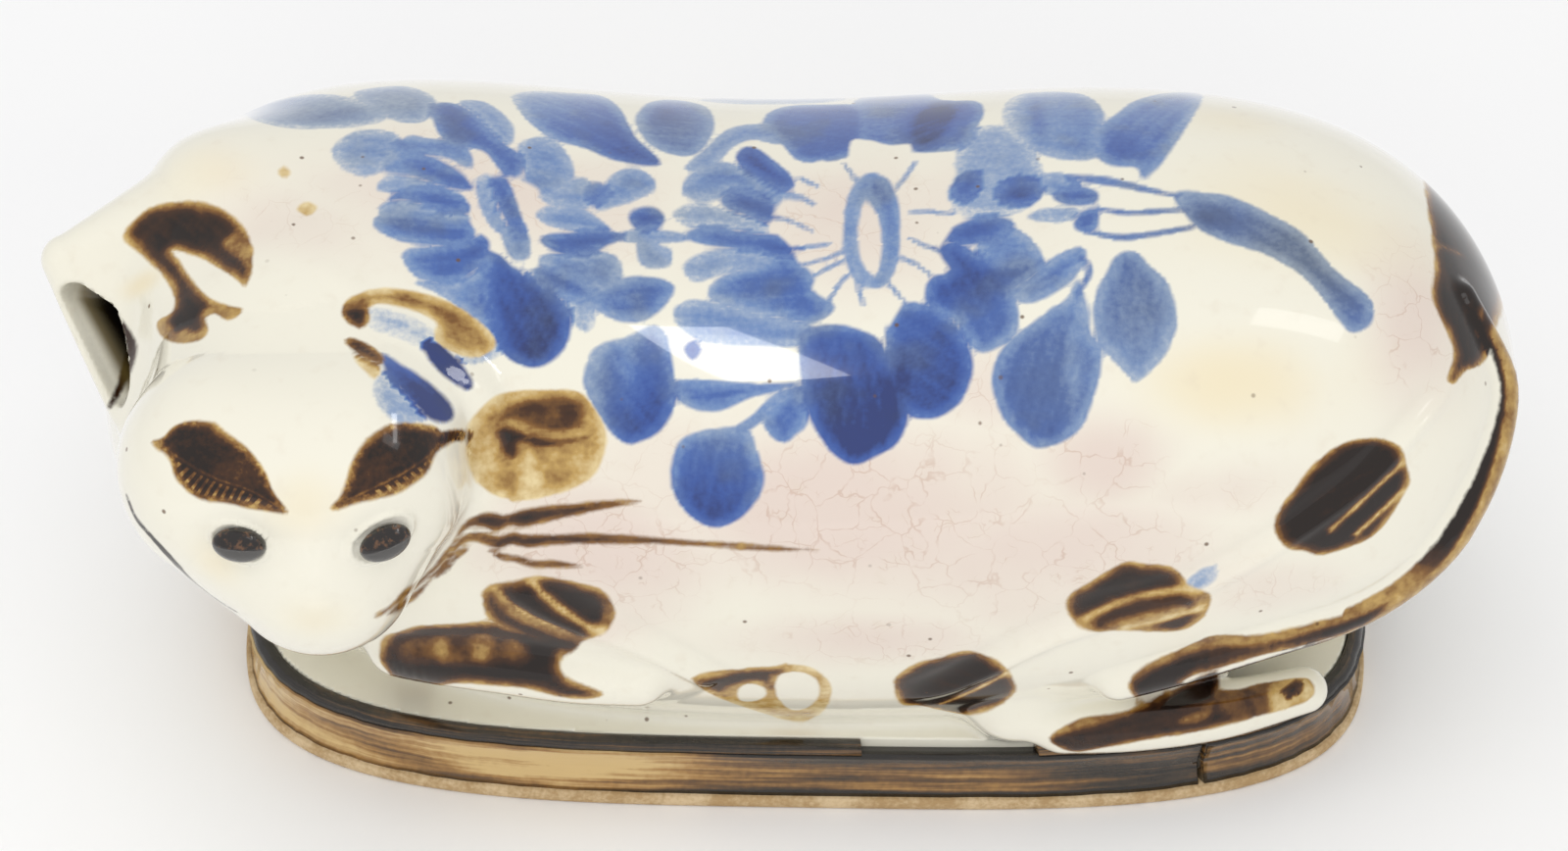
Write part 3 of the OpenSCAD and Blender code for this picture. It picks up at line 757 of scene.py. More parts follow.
TOP_LEAVES = {
    "big leaf": (
        0.3, 0.9, "525,97 547,93 583,95 613,98 630,110 640,127 650,143 673,167 630,163 597,150 563,140"
        " 540,123 527,107"),
    "round leaf": (
        0.5, 0.55, "650,123 660,107 680,102 707,105 723,113 727,130 717,150 703,158 680,155 660,143"),
    "far strips": (0.3, 0.3, "715,102 760,98 830,98 862,101 830,105 760,106"),
    "split leaf": (
        0.3, 0.52, "1025,120 1027,107 1040,97 1060,94 1085,94 1105,97 1120,107 1125,120 1120,145 1117,160"
        " 1090,162 1065,157 1045,147 1030,135"),
    "pointed leaf": (
        0.42, 0.6, "1225,97 1193,95 1160,103 1140,117 1120,133 1120,157 1133,167 1160,170 1167,180 1183,167"
        " 1200,143 1213,123"),
}
MAIN_FLOWER = {
    "top band": (0.6, 0.72, "780,125 797,110 840,107 880,110 882,140 862,160 820,164 800,148"),
    "round petal": (
        0.5, 0.62, "870,108 900,95 937,93 962,103 993,103 1003,113 995,130 982,150 933,154 880,146"),
    "navy heart of the round petal": (0.95, 0.85, "920,138 930,115 952,103 984,107 978,128 960,148 935,152"),
    "upper arc": (0.45, 0.45, "700,172 723,150 743,133 770,127 800,132 796,146 768,142 746,150 726,170"),
    "dark blob": (0.9, 0.85, "752,160 762,150 775,154 790,166 806,180 808,192 795,192 776,182 760,172"),
    "grey band": (0.45, 0.5, "697,196 706,178 735,166 765,176 798,194 806,206 786,208 750,196 720,204"),
    "blue band": (0.75, 0.85, "738,200 760,194 780,204 790,214 786,226 762,218 744,212"),
    "pale band": (0.34, 0.4, "688,218 712,208 742,216 780,228 776,237 740,231 704,231"),
    "long blue band": (0.6, 0.85, "700,240 722,232 760,238 800,243 816,254 802,262 770,255 722,249"),
    "pale lower band": (0.36, 0.42, "698,272 720,258 760,255 798,262 780,270 738,278 710,286"),
    "wide petal": (
        0.42, 0.62, "724,302 734,285 770,271 800,260 818,270 829,285 832,300 850,314 828,328 793,322 750,314"),
    "edge of the wide petal": (
        0.4, 0.45, "688,322 702,308 730,310 760,318 795,326 826,332 824,350 780,352 715,346"),
    "grey wash": (0.3, 0.34, "972,178 984,142 1010,128 1040,138 1058,162 1064,196 1032,218 985,219 968,200"),
    "blue bead": (0.8, 0.85, "973,196 983,180 998,177 997,192 984,205"),
    "blue drop": (0.85, 0.85, "1018,196 1033,183 1054,184 1061,196 1048,208 1026,207"),
    "grey link": (0.45, 0.45, "1056,186 1076,177 1098,184 1102,196 1076,199"),
    "bead on the stem": (0.75, 0.75, "1076,200 1095,191 1118,196 1116,206 1090,208"),
    "second bead": (0.75, 0.75, "1097,230 1104,217 1119,215 1118,231 1107,236"),
    "wash on the stem": (0.38, 0.4, "1050,222 1066,214 1098,214 1096,222 1076,226"),
    "right arc": (0.82, 0.72, "962,242 985,227 1010,221 1034,228 1018,241 985,249"),
    "dome": (0.45, 0.5, "998,265 1003,238 1025,230 1046,240 1060,256 1062,268 1040,277 1015,279"),
    "bright field": (
        0.85, 0.55, "956,252 980,250 1012,268 1064,266 1052,282 1034,296 1038,322 1034,342 1015,355 1000,358"
        " 985,345 975,325 952,316 944,300 952,284 968,278"),
    "right leaf": (0.5, 0.55, "1035,300 1050,285 1075,264 1100,253 1107,261 1095,283 1075,298 1050,308"),
}
LOWER_PETALS = {
    "left lower petal": (
        0.72, 1.12, "850,332 893,345 909,373 919,400 925,427 912,453 893,464 877,472 863,470 847,457 830,430"
        " 821,397 818,345"),
    "right lower petal": (
        0.68, 0.92, "905,335 923,311 953,315 977,335 990,363 989,387 975,413 953,425 927,422 911,397"),
    "small drop": (0.5, 0.68, "822,400 800,403 781,427 787,443 800,450 810,443 823,430"),
    "thin leaf": (0.7, 0.55, "819,391 777,393 697,388 690,403 710,417 737,417 767,404"),
    "stem of the drop": (0.6, 0.6, "826,392 793,402 768,425 745,440 752,444 775,430 800,408 828,400"),
    "drop": (
        0.5, 1.0, "745,437 720,440 700,447 690,460 686,485 690,505 700,520 718,534 735,536 755,527 770,510"
        " 778,490 776,475 769,455 763,440"),
    "side drop": (
        0.5, 0.95, "605,360 620,350 640,345 667,333 681,350 688,400 684,420 674,437 655,448 640,451 625,440"
        " 610,420 600,400 597,385"),
    "teardrop": (
        0.52, 0.7, "1100,288 1107,310 1112,340 1122,355 1121,380 1114,405 1105,430 1090,446 1070,454 1055,454"
        " 1040,443 1025,425 1017,405 1014,385 1020,363 1035,345 1055,330 1075,315 1090,305"),
    "hanging leaf": (
        0.6, 0.42, "1140,262 1157,258 1170,270 1190,290 1200,325 1195,345 1185,365 1160,388 1150,380 1135,365"
        " 1122,350 1117,325 1120,300 1130,280"),
    "thick stem": (
        0.55, 0.62, "1200,198 1230,198 1260,203 1300,222 1330,240 1360,275 1395,303 1400,318 1397,330"
        " 1385,337 1373,333 1340,290 1300,262 1250,245 1225,233 1210,217"),
}
PALE_PETALS = (
    "867,143 887,142 909,147 931,146 934,165 950,172 965,160 977,172 973,188 962,206 972,218 974,232"
    " 960,256 972,277 949,280 944,311 924,309 905,337 881,311 859,328 847,306 836,300 826,296 830,280"
    " 815,271 806,254 784,232 786,222 789,214 800,198 817,182 826,167 840,162 861,167")
SMALL_PALE_PETALS = (
    "480,166 492,163 502,176 512,184 520,178 533,182 549,190 553,200 540,208 538,224 547,242 552,262"
    " 548,270 536,262 536,282 528,276 520,272 511,262 498,256 497,246 485,236 478,226 480,210 470,198"
    " 472,192 482,194 488,182")
for group in (LEFT_SPRAY, TOP_LEAVES, MAIN_FLOWER, LOWER_PETALS):
    cobalt.strokes(group)
cobalt.spare(PALE_PETALS)
cobalt.spare(SMALL_PALE_PETALS)
FLOWER_HEARTS = {
    "left half of the small heart": (
        0.42, 0.48, "488,184 500,182 503,198 510,222 520,236 508,236 496,222 489,204"),
    "right half of the small heart": (
        0.85, 0.75, "504,184 516,183 524,202 532,224 537,238 526,240 516,222 506,200"),
    "foot of the small heart": (0.5, 0.5, "514,234 532,232 540,246 538,262 524,262 516,250"),
    "left half of the heart": (
        0.55, 0.5, "880,181 896,179 890,195 879,208 874,228 874,252 880,272 894,290 878,289 866,270 862,240"
        " 866,204"),
    "right half of the heart": (
        0.62, 0.55, "886,180 904,183 914,202 917,235 914,268 902,290 888,291 898,276 902,250 898,222 888,204"
        " 881,196"),
}
PETAL_LINES = (
    "786,222 805,225 830,236", "806,254 826,252 846,249", "815,271 842,264 866,254", "830,281 848,272 868,262",
    "847,306 856,290 868,278", "881,311 877,298 874,286", "800,198 816,201 830,208", "817,182 835,190",
    "960,256 942,250 928,243", "972,218 950,216 930,216", "949,280 935,270 918,262", "924,309 914,298 906,288",
    "934,165 926,178 916,190", "861,167 868,176 874,186")
STEM_LINES = {"1090,180 1140,187 1200,200": 5.0, "1118,212 1150,217 1210,214": 4.0,
              "1108,236 1150,242 1215,232": 5.0, "1104,262 1112,276 1100,300": 4.0}
PETAL_LINE_WIDTH, PETAL_LINE_LOAD, STEM_LOAD = 2.2, 0.36, 0.5
# Pools of cobalt: a pixel, the reach in pixels, and the load that is added or taken off
POOLS = ((915, 392, 12, 26, 0.35), (955, 116, 34, 10, 0.2), (680, 117, 16, 12, 0.25), (340, 117, 34, 8, 0.2),
         (1058, 118, 10, 26, 0.2), (1145, 150, 16, 14, 0.15), (1095, 380, 10, 60, -0.2), (1235, 225, 26, 12, 0.2),
         (640, 385, 10, 40, -0.15), (612, 395, 14, 40, -0.12), (770, 290, 40, 10, 0.12), (985, 290, 30, 20, 0.12),
         (707, 357, 7, 9, 0.6))
BLUE_DOT = "700,357 707,349 714,357 707,366"
cobalt.strokes(FLOWER_HEARTS)
for text in PETAL_LINES:
    cobalt.line(text, PETAL_LINE_WIDTH, PETAL_LINE_LOAD)
for text, width in STEM_LINES.items():
    cobalt.line(text, width, STEM_LOAD)
for pool in POOLS:
    cobalt.pool(*pool)
cobalt.stroke(BLUE_DOT, 1.0, 1.0)

head_edge, foot_edge = clay["head"] - 2.0, clay["hind_foot"] - 1.5
on_head = head_edge < 0
iron = Pigment(0.75)
IRON_SPOTS = {
    "spot behind the ear": (
        0.85, 1.0, "126,240 145,217 165,208 190,205 210,207 230,215 245,228 255,243 258,260 257,278 250,292"
        " 242,285 227,276 208,264 190,258 175,255 184,268 194,283 206,297 218,307 231,311 247,315 243,322"
        " 231,326 218,320 210,325 212,336 202,348 175,349 163,340 161,328 173,320 178,309 174,293 165,280"
        " 153,268 141,257"),
    "band over the folded ear": (
        0.5, 0.34, "349,317 356,304 378,296 412,295 445,303 472,315 497,336 506,352 490,364 464,360 444,346"
        " 446,330 428,319 404,312 384,310 370,320 360,331"),
    "start of that band": (1.5, 1.4, "349,317 356,313 374,313 376,326 369,335 358,331 351,324"),
    "tip under the folded ear": (1.5, 1.2, "352,348 362,345 379,353 392,365 389,372 376,367 364,361"),
    "fringe of that tip": (0.25, 0.25, "360,360 374,366 388,372 384,386 374,380 366,371"),
    "first flank spot": (
        0.22, 0.22, "475,455 480,430 495,412 515,400 540,398 585,398 600,407 612,425 618,440 618,455 612,475"
        " 600,490 580,500 555,507 530,510 505,505 490,495 480,480"),
    "brown top of the first flank spot": (
        0.62, 0.6, "503,430 512,412 540,401 578,400 598,410 601,438 588,444 560,446 535,438 516,434"),
    "heart of the first flank spot": (
        1.2, 1.1, "503,441 513,432 530,436 546,443 575,445 601,441 603,450 580,456 556,459 542,457 534,454"
        " 530,468 521,472 511,464 506,452"),
    "drip of the first flank spot": (0.6, 0.55, "517,476 527,474 531,495 529,511 519,509 518,494"),
    "shoulder spot": (
        1.0, 1.05, "492,610 500,597 520,593 555,588 600,597 615,603 625,615 627,630 617,645 600,652 585,655"
        " 540,635 515,622"),
    "belly ring": (
        0.22, 0.18, "707,692 740,683 765,683 790,680 815,678 835,685 847,697 848,712 840,725 825,735 805,735"
        " 780,728 750,718 725,708"),
    "bar of the belly ring": (
        1.1, 0.8, "706,692 722,688 742,685 766,681 790,680 804,677 799,689 791,692 792,703 782,706 775,697"
        " 760,698 744,703 739,709 724,705 712,699"),
    "belly spot": (
        1.0, 1.05, "912,700 915,690 935,677 960,670 985,664 1005,668 1025,680 1037,700 1030,712 1015,722"
        " 990,729 972,727 940,720 920,718"),
    "haunch spot": (
        1.0, 1.0, "1088,620 1093,605 1110,595 1145,574 1165,575 1190,577 1205,585 1213,597 1234,605 1233,620"
        " 1225,632 1200,644 1140,643 1120,645 1100,638"),
    "hip spot": (
        1.1, 1.05, "1300,540 1305,520 1320,500 1335,480 1350,465 1370,452 1395,447 1415,449 1430,458 1437,480"
        " 1437,495 1420,525 1405,543 1390,553 1350,566 1330,562 1312,558"),
    "rump patch": (
        0.95, 1.05, "1455,170 1475,182 1497,212 1517,250 1530,285 1534,310 1528,330 1520,360 1508,374"
        " 1496,378 1484,391 1477,386 1483,362 1478,342 1468,322 1461,300 1464,270 1460,235 1454,195"),
    "paw": (
        1.0, 1.1, "388,660 392,650 410,643 430,638 470,636 500,634 520,640 560,648 592,655 572,672 577,690"
        " 600,700 615,708 600,713 570,711 540,703 500,699 470,697 430,701 410,699 395,685 387,672"),
    "tail end": (
        0.25, 1.3, "1290,647 1240,648 1220,655 1200,664 1172,677 1156,689 1152,701 1160,712 1176,714 1216,690"
        " 1240,683 1290,668 1340,656 1388,640 1420,618 1450,588 1472,562 1464,556 1440,580 1420,603 1390,621"
        " 1340,635"),
    "first honey dot": (0.35, 0.35, "284,175 290,170 296,176 290,182"),
    "second honey dot": (0.25, 0.25, "303,213 313,206 323,212 314,221"),
}
iron.strokes(IRON_SPOTS)
IRON_WASHES = {
    "amber beside the ear spot": (0.34, "228,244 240,236 252,246 258,262 256,276 246,268 233,259 226,251"),
    "amber under the ear spot": (
        0.32, "160,340 164,326 176,330 180,338 190,334 202,338 212,334 204,350 176,352"),
    "light foot of the ear spot": (0.3, "206,316 226,312 244,315 236,323 214,327"),
    "amber on the paw": (
        0.55, "404,662 418,650 450,646 490,645 525,650 540,662 536,676 500,677 450,678 412,676"),
    "first light on the paw": (0.36, "443,660 450,650 458,654 460,670 450,676 444,670"),
    "second light on the paw": (0.34, "480,660 486,648 500,648 504,662 496,674 484,672"),
    "third light on the paw": (0.42, "516,658 524,652 534,660 530,672 520,672"),
    "edge of the paw": (0.2, "392,692 410,700 440,702 500,701 545,705 600,712 600,716 540,711 480,706 410,707"),
    "light in the first flank spot": (0.1, "486,470 500,462 508,478 504,494 492,490"),
    "light under its heart": (0.08, "534,462 548,466 556,488 544,500 534,490"),
    "left of the shoulder spot": (0.42, "494,608 502,600 514,612 524,626 516,626 502,618"),
    "right of the shoulder spot": (0.42, "606,602 618,610 625,622 620,638 612,636 614,618"),
    "amber in the haunch spot": (0.3, "1130,634 1160,624 1196,616 1214,618 1200,630 1160,638 1136,642"),
    "amber end of the haunch spot": (0.36, "1214,600 1230,604 1232,616 1222,624 1216,614"),
    "light on the rump patch": (0.3, "1508,345 1506,330 1510,314 1515,314 1513,334"),
    "ridge of the rump patch": (0.4, "1461,246 1478,251 1496,262 1480,257 1464,251"),
    "fringe of the tail": (
        0.34, "1170,676 1200,662 1222,652 1242,646 1300,643 1340,632 1390,618 1394,624 1340,642 1300,651"
        " 1250,657 1222,663 1196,674 1172,684"),
}
iron.washes(IRON_WASHES)
HIND_PAW = (
    "1070,754 1085,742 1105,732 1140,727 1160,721 1180,711 1200,698 1216,689 1240,684 1244,694 1243,703"
    " 1262,703 1290,696 1320,692 1335,692 1341,700 1338,711 1325,719 1300,726 1265,736 1220,747 1180,753"
    " 1120,764 1100,767 1084,764")
HIND_CLAW = "1312,707 1317,699 1325,697 1322,707"
FOOT_WASHES = {
    "fringe of the hind paw": (0.34, "1080,746 1104,733 1140,727 1152,729 1120,740 1092,748"),
    "amber on the hind paw": (0.4, "1202,735 1218,726 1236,722 1232,733 1214,740"),
    "brown of the hind paw": (0.5, "1244,704 1262,703 1290,697 1300,700 1296,724 1266,735 1244,726"),
    "end of the hind paw": (0.14, "1296,698 1320,692 1335,692 1341,700 1338,711 1325,719 1300,726 1294,712"),
}
iron.stroke(HIND_PAW, 1.3, 1.2, foot_place, foot_edge)
iron.washes(FOOT_WASHES, foot_place, foot_edge)
iron.stroke(HIND_CLAW, 2.4, 2.4, foot_place, foot_edge)
RING_WINDOWS = ("794,690 815,685 831,692 837,705 829,719 812,725 798,718 792,706",
                "752,707 758,699 772,698 782,704 779,712 765,716 755,714")
for text in RING_WINDOWS:
    iron.spare(text)
# Ridges on the spots where the glaze has run thin, the width of each, and the share of the load that has run off
LIGHT_RIDGES = ("500,598 520,616 545,631 596,653", "538,589 560,611 598,638 620,645", "955,720 990,706 1033,684",
                "1096,636 1150,611 1200,602 1236,600", "1140,642 1185,633 1232,618", "1352,546 1390,511 1438,466",
                "1378,550 1410,521 1436,496")
RIDGE_WIDTH, RUN_OFF = 0.95, 0.85
bare = np.zeros(len(net_points))
for text in LIGHT_RIDGES:
    _, near, off, along = beside(text, unroll, 4)
    light = np.exp(-(off / RIDGE_WIDTH) ** 2) * ramp_up(0.0, 0.1, along) * (1 - ramp_up(0.9, 1.0, along))
    bare[near] = np.maximum(bare[near], light)
iron.load = iron.load * (1 - RUN_OFF * bare)

# The tail is dark along the inner side of its upper run, amber outside and at the bend, dark again under its end.
# The loads of these three, and the shares of the tail's length at which the bend ends and the paint stops
TAIL_AMBER, TAIL_DARK, TAIL_END_DARK = 0.26, 0.85, 0.7
TAIL_BEND, TAIL_STOP = 0.62, 0.94
tail_lead = np.where(clay["tail"] < 3.0, np.minimum(clay["body"], clay["hind_foot"]) - clay["tail"], -FAR)
tail_off, tail_along = line_place(net_flat, flat_run(TAIL))
upper_dark = ramp_up(0.52, 0.4, tail_along) * ramp_up(-0.2, 1.4, tail_off)
under_end = np.maximum(tail_off + 0.5, 180.0 * (tail_along - TAIL_STOP))
tail_gap = np.maximum(0.6 - tail_lead, np.where(tail_along > TAIL_BEND, under_end, -FAR))
tail_load = TAIL_AMBER + TAIL_DARK * upper_dark + TAIL_END_DARK * ramp_up(TAIL_BEND, 0.7, tail_along)
iron.load = np.maximum(iron.load, np.where(tail_gap < STROKE_BLEED, tail_load, 0.0))
iron.gap = np.minimum(iron.gap, tail_gap)

BROWS = {
    "left brow": (
        1.15, 1.15, "154,451 172,447 180,440 195,436 210,437 230,442 250,455 263,470 272,485 280,502 294,522"
        " 285,524 268,521 245,517 225,513 205,510 190,500 178,485 172,467"),
    "right brow": (
        1.15, 1.15, "473,443 455,450 447,437 425,432 405,431 390,436 375,447 365,460 358,475 352,495 345,508"
        " 337,518 345,520 360,515 380,510 400,505 420,495 437,482 442,470 450,458"),
}
BROW_RIBS = ("172,460 200,478 225,490 255,500 290,520", "458,452 436,466 412,482 380,498 342,516")
CHEEK_LINES = (("129,506 139,529 154,547 174,569 194,590 219,610 241,624", 11.0, 1.0),
               ("133,536 148,557 168,578 191,597", 4.0, 0.8))
# The fine comb of each brow: millimetres along its rib, and off it. Everywhere else the latter is this
OFF_COMB = -9.0
iron.strokes(BROWS, face_place, head_edge)
comb, comb_side = np.zeros(len(net_points)), np.full(len(net_points), OFF_COMB)
for text in BROW_RIBS:
    run, near, off, along = beside(text, face_place, STROKE_REACH)
    kept = on_head[near]
    comb[near[kept]] = along[kept] * np.linalg.norm(np.diff(run, axis=0), axis=1).sum()
    comb_side[near[kept]] = off[kept] if run[0, 0] > run[-1, 0] else -off[kept]
for text, width, load in CHEEK_LINES:
    iron.line(text, width, load, face_place, head_edge)
# Whiskers and other strokes that run over a crease from one form to the next, laid as the camera sees them
CROSSING_STROKES = {
    "upper whisker": (
        1.5, 1.4, "381,629 400,616 410,604 422,596 440,580 450,567 460,556 465,548 470,538 478,530 490,524"
        " 505,523 515,525 531,520 557,516 583,514 615,511 650,510 650,513 615,520 583,527 557,533 533,538"
        " 520,536 507,542 493,538 483,537 474,541 468,548 463,556 457,568 447,579 435,591 420,604 400,621"
        " 392,626"),
    "middle whisker": (
        1.5, 1.5, "394,627 405,617 420,606 432,596 442,585 452,574 458,566 462,558 468,550 474,546 482,543"
        " 492,543 503,546 510,547 523,543 536,545 562,545 604,544 657,547 715,552 768,555 836,562 768,561"
        " 715,557 657,555 604,555 562,556 539,559 523,556 510,560 505,559 495,555 486,552 478,552 470,556"
        " 464,562 460,570 457,578 452,583 445,587 440,591 430,605 415,617 402,626"),
    "root of the lower whisker": (
        1.8, 1.8, "445,589 447,586 456,579 460,572 466,564 472,560 477,559 476,562 470,566 464,573 458,582"
        " 452,586"),
    "lower whisker": (
        1.6, 1.5, "498,560 515,565 531,567 547,572 568,572 595,577 591,579 562,579 541,578 525,573 510,571"
        " 502,566"),
    # Dark glaze, deepened as painted shade where the tail's end overhangs the hind paw
    "dark glaze and painted shade between the tail and the hind paw": (
        1.6, 1.6, "1173,727 1187,709 1216,694 1241,684 1244,700 1239,717 1216,726 1193,732"),
    "dark between the shoulder spot and the paw": (
        0.9, 1.6, "492,612 503,597 513,612 530,628 560,642 592,655 575,668 545,656 515,642 499,631"),
    "stem of the right brow": (1.8, 2.2, "448,441 460,439 472,439 477,445 472,450 460,451 449,456 442,450"),
}
EAR_RIM = "104,314 112,320 122,330 131,345 134,355 130,375 122,396 112,414"
for first_load, half_load, text in CROSSING_STROKES.values():
    iron.stroke(text, first_load, half_load, seen_place, in_sight(text))
iron.line(EAR_RIM, 11.0, 0.8, seen_place, in_sight(EAR_RIM))

# Touches of cobalt in and round the grooves of the folded ear, and a smudge on the haunch
BLUE_TOUCHES = {
    # The navy in this groove is cobalt and also the painted shade of the hollow
    "navy cobalt and painted shade in the groove under the folded ear": (
        0.9, 1.7, "390,362 410,374 431,387 450,404 461,420 455,429 440,425 424,409 408,393 396,379"),
    "wash under the folded ear": (0.3, 0.4, "384,394 394,378 406,393 420,409 434,425 416,429 400,421 388,408"),
    "slope of the folded ear": (
        0.24, 0.24, "374,317 396,317 422,326 441,338 456,353 449,363 429,354 404,342 380,334"),
    # The navy in this groove is cobalt and also the painted shade of the hollow
    "navy cobalt and painted shade in the groove over the folded ear": (1.5, 1.7, "436,350 452,356 468,371 480,388 478,396 466,391 450,378 438,364"),
    "green end of the folded ear": (0.25, 0.3, "492,332 506,338 514,350 504,364 484,370 466,364 490,358"),
    "smudge on the haunch": (0.4, 0.3, "1212,596 1225,583 1241,578 1238,590 1222,599"),
}
cobalt.strokes(BLUE_TOUCHES)

# How much of a tint is lost on the head
HEAD_FADE = 0.75


def tint(zones):
    """How strongly the glaze takes a tint, from zones of pixel, reach in pixels and strength."""
    out = np.zeros(len(net_points))
    for *place_and_reach, strength in zones:
        out = np.maximum(out, strength * zone(*place_and_reach, 1.0))
    return out * (1 - HEAD_FADE * ramp_up(9.0, -1.0, clay["head"]))


blush = tint([
    (620, 560, 190, 90, 0.9), (860, 520, 260, 110, 1.0), (1060, 560, 200, 90, 0.8), (480, 200, 220, 80, 0.7),
    (300, 230, 130, 60, 0.55), (880, 230, 200, 90, 0.7), (1120, 470, 90, 60, 0.9), (860, 650, 180, 30, 0.7),
    (1010, 400, 120, 60, 0.7), (600, 640, 80, 20, 0.6), (1440, 330, 60, 110, 0.75), (1300, 600, 80, 30, 0.5),
    (1240, 500, 110, 40, 0.6)])
# Honey tint of the glaze. Its first two zones, on the rump end, are painted warm reflections
honey = tint([
    (1250, 390, 110, 60, 0.9), (1320, 220, 140, 70, 0.8), (1240, 120, 80, 30, 0.6), (200, 180, 90, 40, 0.5),
    (145, 290, 26, 16, 0.9), (1200, 680, 60, 30, 0.4), (1380, 380, 60, 80, 0.4)])
grey = tint([
    (1330, 260, 95, 75, 1.0), (1235, 222, 60, 40, 0.7), (1165, 310, 50, 70, 0.6), (1070, 390, 60, 80, 0.45),
    (330, 115, 95, 30, 0.7), (405, 105, 50, 25, 0.7), (690, 130, 45, 35, 0.5), (735, 215, 55, 20, 0.4),
    (620, 275, 45, 30, 0.4), (612, 395, 18, 50, 0.5), (735, 450, 30, 20, 0.4)])
# Honey on the forehead, the nose and the left cheek: place on the face and reach
FACE_HONEY = (((0.0, 22.0), (14.0, 9.0)), ((0.0, -2.0), (9.0, 7.0)), ((-20.0, 8.0), (7.0, 9.0)))
for middle, reach in FACE_HONEY:
    honey = np.maximum(honey, np.where(on_head, 0.6 * bump(net_face, middle, reach), 0.0))


# Shaders

def srgb(*levels):
    """A colour from its screen levels, 0 to 255."""
    return tuple((v / 255 / 12.92) if v < 11 else ((v / 255 + 0.055) / 1.055) ** 2.4 for v in levels)


class Value:
    """A shader socket that takes part in plain arithmetic."""

    def __init__(self, glaze, socket):
        self.glaze, self.socket = glaze, socket

    def math(self, operation, a, b=0.0):
        return self.glaze.node("Math", {"operation": operation}, {0: a, 1: b})

    def __add__(self, other):
        return self.math("ADD", self, other)

    def __sub__(self, other):
        return self.math("SUBTRACT", self, other)

    def __rsub__(self, other):
        return self.math("SUBTRACT", other, self)

    def __mul__(self, other):
        return self.math("MULTIPLY", self, other)

    __radd__, __rmul__ = __add__, __mul__

    def sine(self):
        return self.math("SINE", self)

    def at_most(self, other):
        return self.math("MINIMUM", self, other)

    def at_least(self, other):
        return self.math("MAXIMUM", self, other)

    def rise(self, low, high):
        """Smooth rise from 0 at low to 1 at high, or a fall where low is the larger."""
        if low > high:
            return 1.0 - self.rise(high, low)
        return self.glaze.node("MapRange", {"interpolation_type": "SMOOTHSTEP"},
                               {"Value": self, "From Min": low, "From Max": high})


class Glaze:
    """One material's shader."""

    def __init__(self, name, rough, coat=0.0):
        self.material = bpy.data.materials.new(name)
        self.material.use_nodes = True
        self.tree = self.material.node_tree
        self.shader = self.tree.nodes["Principled BSDF"]
        self.shader.inputs["Roughness"].default_value = rough
        self.shader.inputs["Coat Weight"].default_value = coat
        self.shader.inputs["Coat Roughness"].default_value = 0.03
        self.shader.inputs["Specular IOR Level"].default_value = 0.25
        self.place = self.node("TexCoord", {}, {}, "Object")

    def node(self, kind, settings, sockets, output=0):
        n = self.tree.nodes.new("ShaderNode" + kind)
        for key, setting in settings.items():
            if key == "stops":
                self.set_stops(n.color_ramp.elements, setting)
            else:
                setattr(n, key, setting)
        for key, value in sockets.items():
            self.feed(n.inputs[key], value)
        return Value(self, n.outputs[output])

    @staticmethod
    def set_stops(points, stops):
        while len(points) < len(stops):
            points.new(0.5)
        for point, (at, colour) in zip(points, stops):
            point.position, point.color = at, (*colour, 1.0)

    def feed(self, socket, value):
        if isinstance(value, Value):
            self.tree.links.new(value.socket, socket)
        elif isinstance(value, tuple):
            socket.default_value = (*value, 1.0) if len(socket.default_value) == 4 else value
        else:
            socket.default_value = value

    def attribute(self, name):
        return self.node("Attribute", {"attribute_name": name}, {}, "Fac")

    def noise(self, size, detail=2.0):
        """Soft noise about 0, with a grain of some millimetres."""
        sockets = {"Vector": self.place, "Scale": 1 / (size * MM), "Detail": detail}
        return self.node("TexNoise", {}, sockets) - 0.5

    def mix(self, share, a, b):
        return self.node("Mix", {"data_type": "RGBA"}, {0: share, 6: a, 7: b}, 2)

    def ramp(self, value, stops):
        return self.node("ValToRGB", {"stops": stops}, {0: value})

    def finish(self, colour, height=None, strength=0.3):
        self.feed(self.shader.inputs["Base Color"], colour)
        if height is not None:
            sockets = {"Height": height, "Strength": strength, "Distance": BUMP_DEPTH * MM}
            self.feed(self.shader.inputs["Normal"], self.node("Bump", {}, sockets))
        return self.material


BUMP_DEPTH = 0.4
# HONEY_AND_WARM_REFLECTION is the glaze's honey tint and also the colour of the painted warm reflections on the rump
# end
CREAM, PINK, HONEY_AND_WARM_REFLECTION = srgb(235, 231, 215), srgb(222, 206, 195), srgb(234, 221, 188)
CLOUDED_CREAM, CRACK_BROWN, SPECK_BROWN = srgb(214, 200, 178), srgb(178, 134, 104), srgb(96, 66, 36)
# Painted shade in the ear's slit: olive-amber at its mouth, near black deeper in
SLIT_SHADE_AMBER, SLIT_SHADE_DARK = srgb(104, 88, 46), srgb(16, 12, 9)
IRON_STOPS = ((0.0, srgb(224, 204, 156)), (0.2, srgb(186, 152, 88)), (0.4, srgb(124, 84, 38)),
              (0.62, srgb(66, 39, 20)), (1.0, srgb(29, 19, 14)))
COBALT_STOPS = ((0.0, srgb(205, 210, 214)), (0.25, srgb(150, 168, 194)), (0.42, srgb(104, 134, 182)),
                (0.6, srgb(64, 98, 166)), (0.78, srgb(44, 78, 152)), (1.0, srgb(27, 48, 110)))
GREY_COBALT_STOPS = ((0.0, srgb(208, 210, 206)), (0.3, srgb(148, 160, 172)), (0.6, srgb(88, 104, 130)),
                     (1.0, srgb(38, 50, 80)))
# Millimetres of the glaze's clouds, its grain and its flecks, and cells to the metre of its cracks and specks
CLOUD, GRAIN, FLECK = 26, 4, 1.1
CRACK_CELLS, FINE_CRACK_CELLS, SPECK_CELLS = 130.0, 290.0, 260.0
# How often to the metre a crack bends, and how far in metres
BENDS, BEND_REACH = 140.0, 0.008


